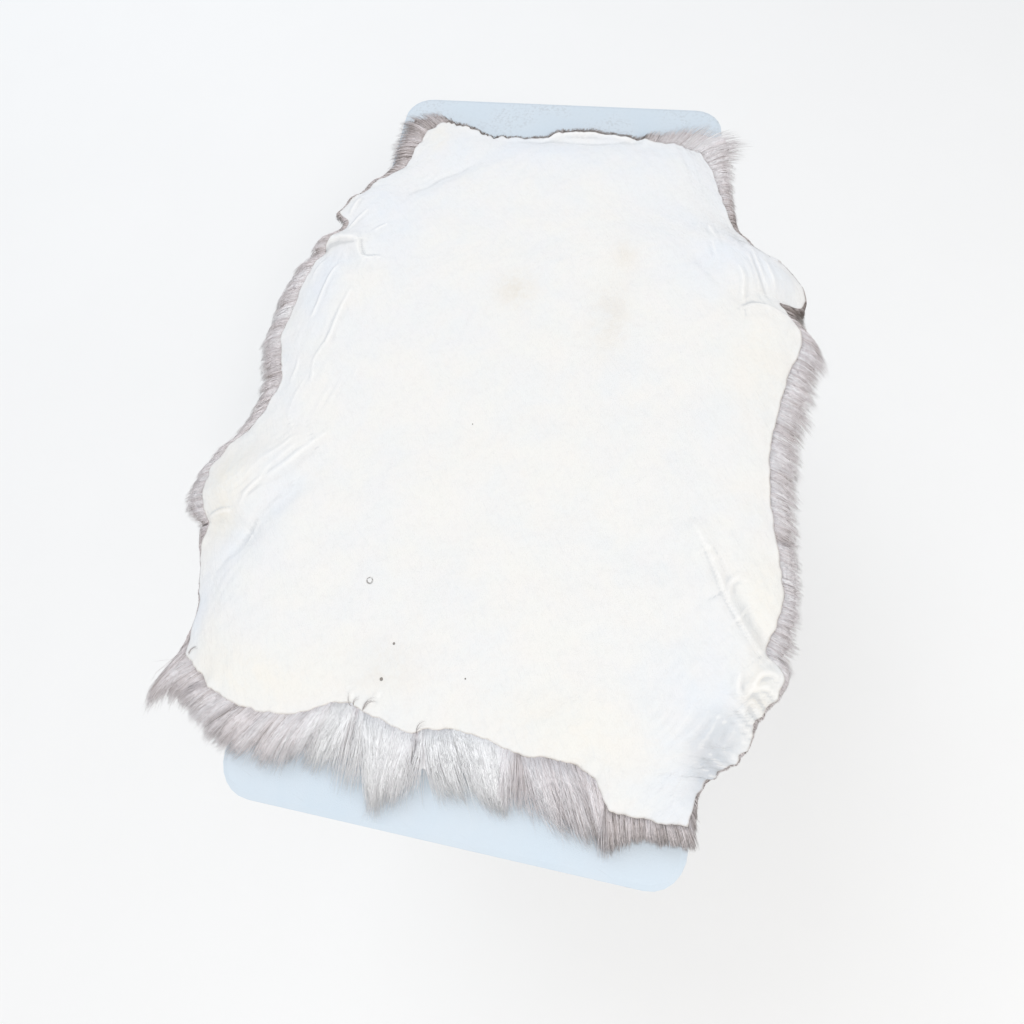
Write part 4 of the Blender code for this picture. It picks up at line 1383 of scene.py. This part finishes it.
def make_base(edges, skin, hair, material):
    """The body of the fringe: a closed ring under the cut edge that reaches to the locks' tips.

    Its upper face lies a little under the top of the hair, lower between two locks, and its
    lower face lies on the bed. Its map runs round the hide, and outwards with the hair.
    """
    steps = np.array(BASE_STEPS)
    under = [BASE_STEPS.index(step) for step in BASE_UNDER]
    places = np.concatenate([[-BASE_INSET], steps, BASE_UNDER, [-BASE_INSET]])
    blend = np.concatenate([[0.0], 0 * steps, BASE_BLEND, [1.0]])
    parts = []
    passed = 0.0
    for number, backwards in BASE_ORDER:
        line = edges[number][0]
        s = np.linspace(0, 1, len(line))
        reach, pull = np.full(len(s), BASE_REACH), np.full(len(s), BASE_PULL)
        plan, low, top, tone, phase, parting = lay_hair(
            edges[number], 0, s, steps, reach, np.zeros(len(s)), pull, skin, hair)
        phase = np.abs(phase)[:, None]
        run = line[:, 2:4] - line[:, :2]
        length = np.linalg.norm(run, axis=1)[:, None]
        grown = np.clip(length / FULL_HAIR, 0.0, 1.0)
        valley = BASE_VALLEY * grown * phase**2 * np.sin(np.pi * steps)
        high = np.maximum(top - BASE_DROP * (1 + 2 * steps) - valley, low + BASE_LEAST)
        inner = plan[:, 0] - BASE_INSET * run / length
        flat = np.concatenate([inner[:, None], plan, plan[:, under], inner[:, None]], axis=1)
        beneath = low[:, under] + (high - low)[:, under] * np.array(BASE_RISE)
        inside = np.minimum(high[:, 0] - BASE_INSIDE, under_skin(inner, BASE_INSET, skin))
        height = np.concatenate([inside[:, None], high, beneath, low[:, :1]], axis=1)
        out = np.where(places > 0, places * length, places)
        gaps = np.linalg.norm(np.diff(line[:, :2], axis=0, prepend=line[:1, :2]), axis=1)
        turn = gaps.cumsum()
        shade = TIP_SHADE[number] * np.clip(places, 0, 1) ** 2
        # Painted shade at lock borders and in partings, on top of the darker tips.
        dark = BASE_PAINTED_SHADE * phase**4 + shade + PARTING_PAINTED_SHADE * parting[:, None]
        shown = (tone[:, None] - dark) * (1 - blend) + PILE_TONE * blend
        around = np.broadcast_to(turn[:, None], height.shape)
        columns = np.dstack([flat, height, around, out, shown])
        if backwards:
            columns = columns[::-1]
            columns[..., 3] = turn[-1] - columns[..., 3]
        columns[..., 3] += passed
        passed += turn[-1]
        parts.append(columns[:-1])
    ring = np.concatenate(parts).transpose(1, 0, 2)
    index = np.arange(ring.shape[0] * ring.shape[1]).reshape(ring.shape[:2])
    after = np.roll(index, -1, axis=0)
    faces = np.stack(
        [index, after, np.roll(after, -1, axis=1), np.roll(index, -1, axis=1)], axis=-1)
    ring = ring.reshape(-1, 6)
    piece = new_piece("hair_base", ring[:, :3], [faces.reshape(-1, 4)], material)
    set_attribute(piece, "tone", ring[:, 5])
    set_map(piece, "lie", ring[:, 3:5])


def strand_tubes(paths, radius):
    """Closed three-sided tubes along paths of equally many points, each ending in a point.

    At a share t of its length a tube is radius (1 - t^2)^0.7 thick, square to its path.
    """
    number, knots = paths.shape[:2]
    rings = knots - 1
    run = np.gradient(paths, axis=1)[:, :rings]
    run /= np.linalg.norm(run, axis=2, keepdims=True)
    side = np.cross(run, (0.0, 0.0, 1.0))
    side /= np.maximum(np.linalg.norm(side, axis=2, keepdims=True), 1e-9)
    up = np.cross(side, run)
    t = np.linspace(0, 1, knots)[:rings]
    width = radius[:, None] * (1 - t**2)[None] ** 0.7
    angles = np.radians((90, 210, 330))
    turn = side[:, :, None] * np.cos(angles)[:, None] + up[:, :, None] * np.sin(angles)[:, None]
    tubes = paths[:, :rings, None] + turn * width[:, :, None, None]
    points = np.concatenate([tubes.reshape(number, -1, 3), paths[:, -1:]], axis=1)
    start = (np.arange(number) * (3 * rings + 1))[:, None, None]
    j = np.arange(3)[None, None, :]
    after = (j + 1) % 3
    k = 3 * np.arange(rings - 1)[None, :, None]
    low, nearby = start + k + j, start + k + after
    quads = np.stack([low, low + 3, nearby + 3, nearby], axis=-1).reshape(-1, 4)
    last = 3 * (rings - 1)
    apex = np.broadcast_to(start + 3 * rings, (number, 1, 3))
    tips = np.stack([start + last + j, apex, start + last + after], axis=-1).reshape(-1, 3)
    caps = (start[:, 0] + np.arange(3)[None]).reshape(-1, 3)
    return points.reshape(-1, 3), [quads, np.concatenate([tips, caps])]


# Where strands lie on their map: its margin, and the shares that tones, sides and length take.
BAKE_MARGIN = 0.02
BAKE_TONES = 0.95
BAKE_SIDES = 0.006
BAKE_LENGTH = 0.96


def finish_strands(piece, t, tones):
    """Tone and place along each strand, and a map to bake them to, for a mesh of strand_tubes.

    tones has a row for each strand and a column for each of its points.
    """
    along = np.tile(np.append(np.repeat(t[:-1], 3), 1.0), len(tones))
    sides = np.tile(np.append(np.tile([0.0, 1.0, 2.0], len(t) - 1), 1.0), len(tones))
    tones = tones.ravel()
    set_attribute(piece, "tone", tones)
    set_attribute(piece, "along", along)
    set_map(piece, "OFBake", np.stack(
        [BAKE_MARGIN + BAKE_TONES * tones + BAKE_SIDES * sides,
         BAKE_MARGIN + BAKE_LENGTH * along], axis=1))


def make_fringe(name, edge, stretch, count, knots, seed, tip_shade, hair, skin, material):
    """A joined mesh of strands along a stretch of an edge.

    Strands of the upper locks start in the cut edge of the leather, and those of the lower
    locks under it. Most lie on top of their lock, and some deeper.
    """
    rng = np.random.default_rng(seed)
    s = rng.uniform(*stretch, count)
    depth = rng.random(count) ** 3.6
    reach = STRAND_REACH - STRAND_LESS * rng.random(count) ** 1.5
    spread = rng.normal(0, STRAND_TURN, count)
    pull = hair.pull * rng.uniform(0.3, 1.0, count)
    strays = rng.random(count) < STRAY_SHARE
    pull[strays] *= 0.2
    spread[strays] *= 2.5
    t = np.linspace(0, 1, knots)
    over = rng.random(count) > UNDER_SHARE
    parts = [
        lay_hair(edge, layer, s, t, reach, spread, pull, skin, hair) for layer in range(2)]
    plan, low, top, tone, phase, parting = (
        np.where(over.reshape((-1,) + (1,) * (upper.ndim - 1)), upper, lower)
        for upper, lower in zip(*parts))
    run = plan[:, 1] - plan[:, 0]
    inset = np.where(over, EDGE_INSET, HAIR_INSET)[:, None] * run
    inset /= np.linalg.norm(run, axis=1)[:, None]
    plan = plan - inset[:, None] * (1 - t)[:, None] ** 3
    lift = rng.uniform(-0.4, 1.0, count)[:, None] * STRAND_LIFT * np.sin(np.pi * t)
    low = low + hair.radius
    z = top + lift + (low - top) * depth[:, None] * (0.15 + 0.75 * t)
    below = np.minimum(z[:, 0] - UNDER_DROP, under_skin(plan[:, 0], HAIR_INSET, skin))
    in_edge = under_skin(plan[:, 0], 0.0, skin) + UNDER_SKIN
    in_edge += skin.thickness * rng.uniform(0.1, 0.8, count)
    z[:, 0] = np.where(over, in_edge, below)
    z[~over, 1:] -= UNDER_DROP
    z = np.maximum(z, low)
    radius = hair.radius * rng.uniform(0.75, 1.2, count)
    points, faces = strand_tubes(np.concatenate([plan, z[..., None]], axis=2), radius)
    piece = new_piece(name, points, faces, material)
    along = np.append(np.repeat(t[:-1], 3), 1.0)
    guard = rng.random(count) < GUARD_SHARE
    # Random tone; painted shade on deep and lower strands; guard hairs are darker of their own.
    tones = tone + rng.normal(0, TONE_SPREAD, count) - DEPTH_PAINTED_SHADE * depth - UNDER_PAINTED_SHADE * ~over
    tones[guard] -= GUARD_SHADE * (1.25 - tone[guard])
    # Painted shade at lock borders.
    tones -= BORDER_PAINTED_SHADE * np.abs(phase) ** 3
    # Darker tips, and painted shade in partings near the root.
    dark = tip_shade * along**2.2 + PARTING_PAINTED_SHADE * parting[:, None] * (1 - along) ** 1.5
    finish_strands(piece, t, np.clip(tones[:, None] - dark, 0.02, 1.0))


# Wisps: places on a strand, how far feet and tips lie apart, how far a strand bends sideways
# as a share of its length, how high it arches, and how thick it is beside the other hair.
WISP_KNOTS = 6
WISP_FEET = 0.0006
WISP_TIPS = 0.0020
WISP_BOW = 0.22
WISP_ARCH = 0.0035
WISP_RADIUS = 0.7


def make_wisps(skin, hair, material):
    """Wisps of dark hair on the leather: bent strands that fan out from each foot to its tip."""
    rng = np.random.default_rng(hair.seed + 40)
    t = np.linspace(0, 1, WISP_KNOTS)
    paths = []
    for x0, y0, x1, y1, count in WISPS:
        foot = np.array([x0, y0]) + rng.normal(0, WISP_FEET, (count, 2))
        tip = np.array([x1, y1]) + rng.normal(0, WISP_TIPS, (count, 2))
        run = tip - foot
        bow = np.stack([-run[:, 1], run[:, 0]], axis=1) * WISP_BOW
        plan = foot[:, None] + run[:, None] * t[:, None]
        plan = plan + bow[:, None] * np.sin(np.pi * t)[:, None]
        x, y = plan[..., 0], plan[..., 1]
        z = bed(x, y) + skin_rise(x, y, np.full_like(x, 0.01), skin) - 0.0005
        z = z + (WISP_ARCH * rng.uniform(0.4, 1.0, count))[:, None] * np.sin(np.pi * t * 0.8)
        paths.append(np.concatenate([plan, z[..., None]], axis=2))
    paths = np.concatenate(paths)
    points, faces = strand_tubes(paths, np.full(len(paths), WISP_RADIUS * hair.radius))
    piece = new_piece("hair_wisps", points, faces, material)
    tones = rng.uniform(0.20, 0.55, len(paths))
    finish_strands(piece, t, np.repeat(tones[:, None], 3 * WISP_KNOTS - 2, axis=1))


# ---------------------------------------------------------------- operators


SENSOR_WIDTH = 36.0
NEAREST = 0.05
FLOOR_HALF = 30.0
FLOOR_SHADE = 0.985
WORLD_COLOUR = (0.965, 0.975, 1.0)
WORLD_STRENGTH = 0.70
# Soft lamps: name, place, width, power and colour.
LAMPS = (
    ("key", (2.4, -3.6, 6.4), 4.0, 215.0, (1.0, 0.965, 0.91)),
    ("fill", (-3.2, 3.8, 5.2), 4.0, 110.0, (0.86, 0.93, 1.0)),
)


class HIDE_OT_stage(bpy.types.Operator):
    """Make the camera, the floor, the soft lights and the world"""

    bl_idname = "hide.stage"
    bl_label = "Stage"

    def execute(self, context):
        stage = context.scene.hide_stage
        a, e, r = stage.azimuth, stage.elevation, stage.roll
        back = Vector((math.sin(a) * math.cos(e), -math.cos(a) * math.cos(e), math.sin(e)))
        right = Vector((math.cos(a), math.sin(a), 0.0))
        up = back.cross(right)
        rolled_right = right * math.cos(r) + up * math.sin(r)
        rolled_up = up * math.cos(r) - right * math.sin(r)
        camera_data = bpy.data.cameras.new("camera")
        camera_data.sensor_width = SENSOR_WIDTH
        camera_data.lens = stage.lens
        camera_data.shift_y = stage.shift
        camera_data.clip_start = NEAREST
        camera = new_object("camera", camera_data)
        turn = Matrix((rolled_right, rolled_up, back)).transposed().to_4x4()
        middle = Vector((MIDDLE_X, MIDDLE_Y, TOP_HEIGHT))
        camera.matrix_world = Matrix.Translation(middle + Vector(stage.place)) @ turn
        context.scene.camera = camera

        mesh = bpy.data.meshes.new("floor")
        corners = [(FLOOR_HALF * x, FLOOR_HALF * y, 0) for x, y in
                   ((-1, -1), (1, -1), (1, 1), (-1, 1))]
        mesh.from_pydata(corners, [], [(0, 1, 2, 3)])
        floor = new_object("floor", mesh)
        material, t, shader = new_material("pale_floor", roughness=0.9)
        soft = t.group(blotch_group, t.place(), 1.5, 0.3)
        shade = tuple(FLOOR_SHADE * channel for channel in stage.floor)
        t.put(shader.inputs["Base Color"], t.mix(soft, stage.floor, shade))
        mesh.materials.append(material)

        world = bpy.data.worlds.new("studio")
        world.use_nodes = True
        background = world.node_tree.nodes["Background"]
        background.inputs["Color"].default_value = (*WORLD_COLOUR, 1.0)
        background.inputs["Strength"].default_value = WORLD_STRENGTH
        context.scene.world = world
        context.scene.view_settings.view_transform = "Standard"

        for name, place, width, power, colour in LAMPS:
            lamp_data = bpy.data.lights.new(name, "AREA")
            lamp_data.shape = "DISK"
            lamp_data.size = width
            lamp_data.energy = power
            lamp_data.color = colour
            lamp = new_object(name, lamp_data)
            lamp.location = place
            aim = middle - Vector(place)
            lamp.rotation_euler = aim.to_track_quat("-Z", "Y").to_euler()
        return {"FINISHED"}


class HIDE_OT_hair(bpy.types.Operator):
    """Make the dense hair under the skin and the locks along its four edges"""

    bl_idname = "hide.hair"
    bl_label = "Hair"

    def execute(self, context):
        skin, hair = context.scene.hide_skin, context.scene.hide_hair
        edges = hair_edges(skin, hair)
        dense = pile_material()
        make_pile(skin, dense)
        make_base(edges, skin, hair, dense)
        material = hair_material()
        counts = (hair.side_strands, hair.side_strands, hair.rump_strands, hair.neck_strands)
        for number, (name, place, stretch, knots) in enumerate(FRINGES):
            make_fringe(name, edges[place], stretch, counts[place], knots,
                        hair.seed + 20 + number, TIP_SHADE[place], hair, skin, material)
        make_wisps(skin, hair, material)
        return {"FINISHED"}


class HIDE_OT_skin(bpy.types.Operator):
    """Make the leather over the hair, once the hair is made"""

    bl_idname = "hide.skin"
    bl_label = "Leather"

    def execute(self, context):
        piece = make_skin(context.scene.hide_skin)
        hair = [bpy.data.objects.get(name) for name in HAIR_PIECES]
        if None in hair:
            raise RuntimeError("make the hair before the leather")
        return {"FINISHED"}


class HIDE_OT_table(bpy.types.Operator):
    """Finish the folding table: plastic top, steel legs and rubber feet"""

    bl_idname = "hide.table"
    bl_label = "Table"

    def execute(self, context):
        table = context.scene.hide_table
        finishes = {
            "moulded_plastic": plastic_material(table),
            "painted_steel": steel_material(table),
            "rubber": rubber_material(table),
        }
        for subpart in frame["record"]["subparts"]:
            material = finishes.get(subpart["material_slot"])
            if material is None:
                continue
            node = frame["nodes"][subpart["node"]]
            node.data.materials.clear()
            node.data.materials.append(material)
        return {"FINISHED"}


class HIDE_PT_panel(bpy.types.Panel):
    """Lists the operators and their settings"""

    bl_idname = "HIDE_PT_panel"
    bl_label = "Reindeer Hide"
    bl_space_type = "VIEW_3D"
    bl_region_type = "UI"
    bl_category = "Hide"

    def draw(self, context):
        for operator in OPERATORS:
            self.layout.operator(operator.bl_idname)
        for name, group in SETTINGS.items():
            box = self.layout.box()
            box.label(text=group.__doc__)
            for field in group.__annotations__:
                box.prop(getattr(context.scene, name), field)


OPERATORS = (HIDE_OT_stage, HIDE_OT_hair, HIDE_OT_skin, HIDE_OT_table)


def register():
    """Adds the classes to Blender, and the settings to its scenes."""
    for group in (*SETTINGS.values(), *OPERATORS, HIDE_PT_panel):
        bpy.utils.register_class(group)
    for name, group in SETTINGS.items():
        setattr(bpy.types.Scene, name, PointerProperty(type=group))


def unregister():
    """Takes away what register added."""
    for name in SETTINGS:
        delattr(bpy.types.Scene, name)
    for group in reversed((*SETTINGS.values(), *OPERATORS, HIDE_PT_panel)):
        bpy.utils.unregister_class(group)


def main():
    """Registers the add-on and calls its operators in order."""
    register()
    bpy.ops.hide.stage()
    bpy.ops.hide.hair()
    bpy.ops.hide.skin()
    bpy.ops.hide.table()


if __name__ == "__main__":
    main()
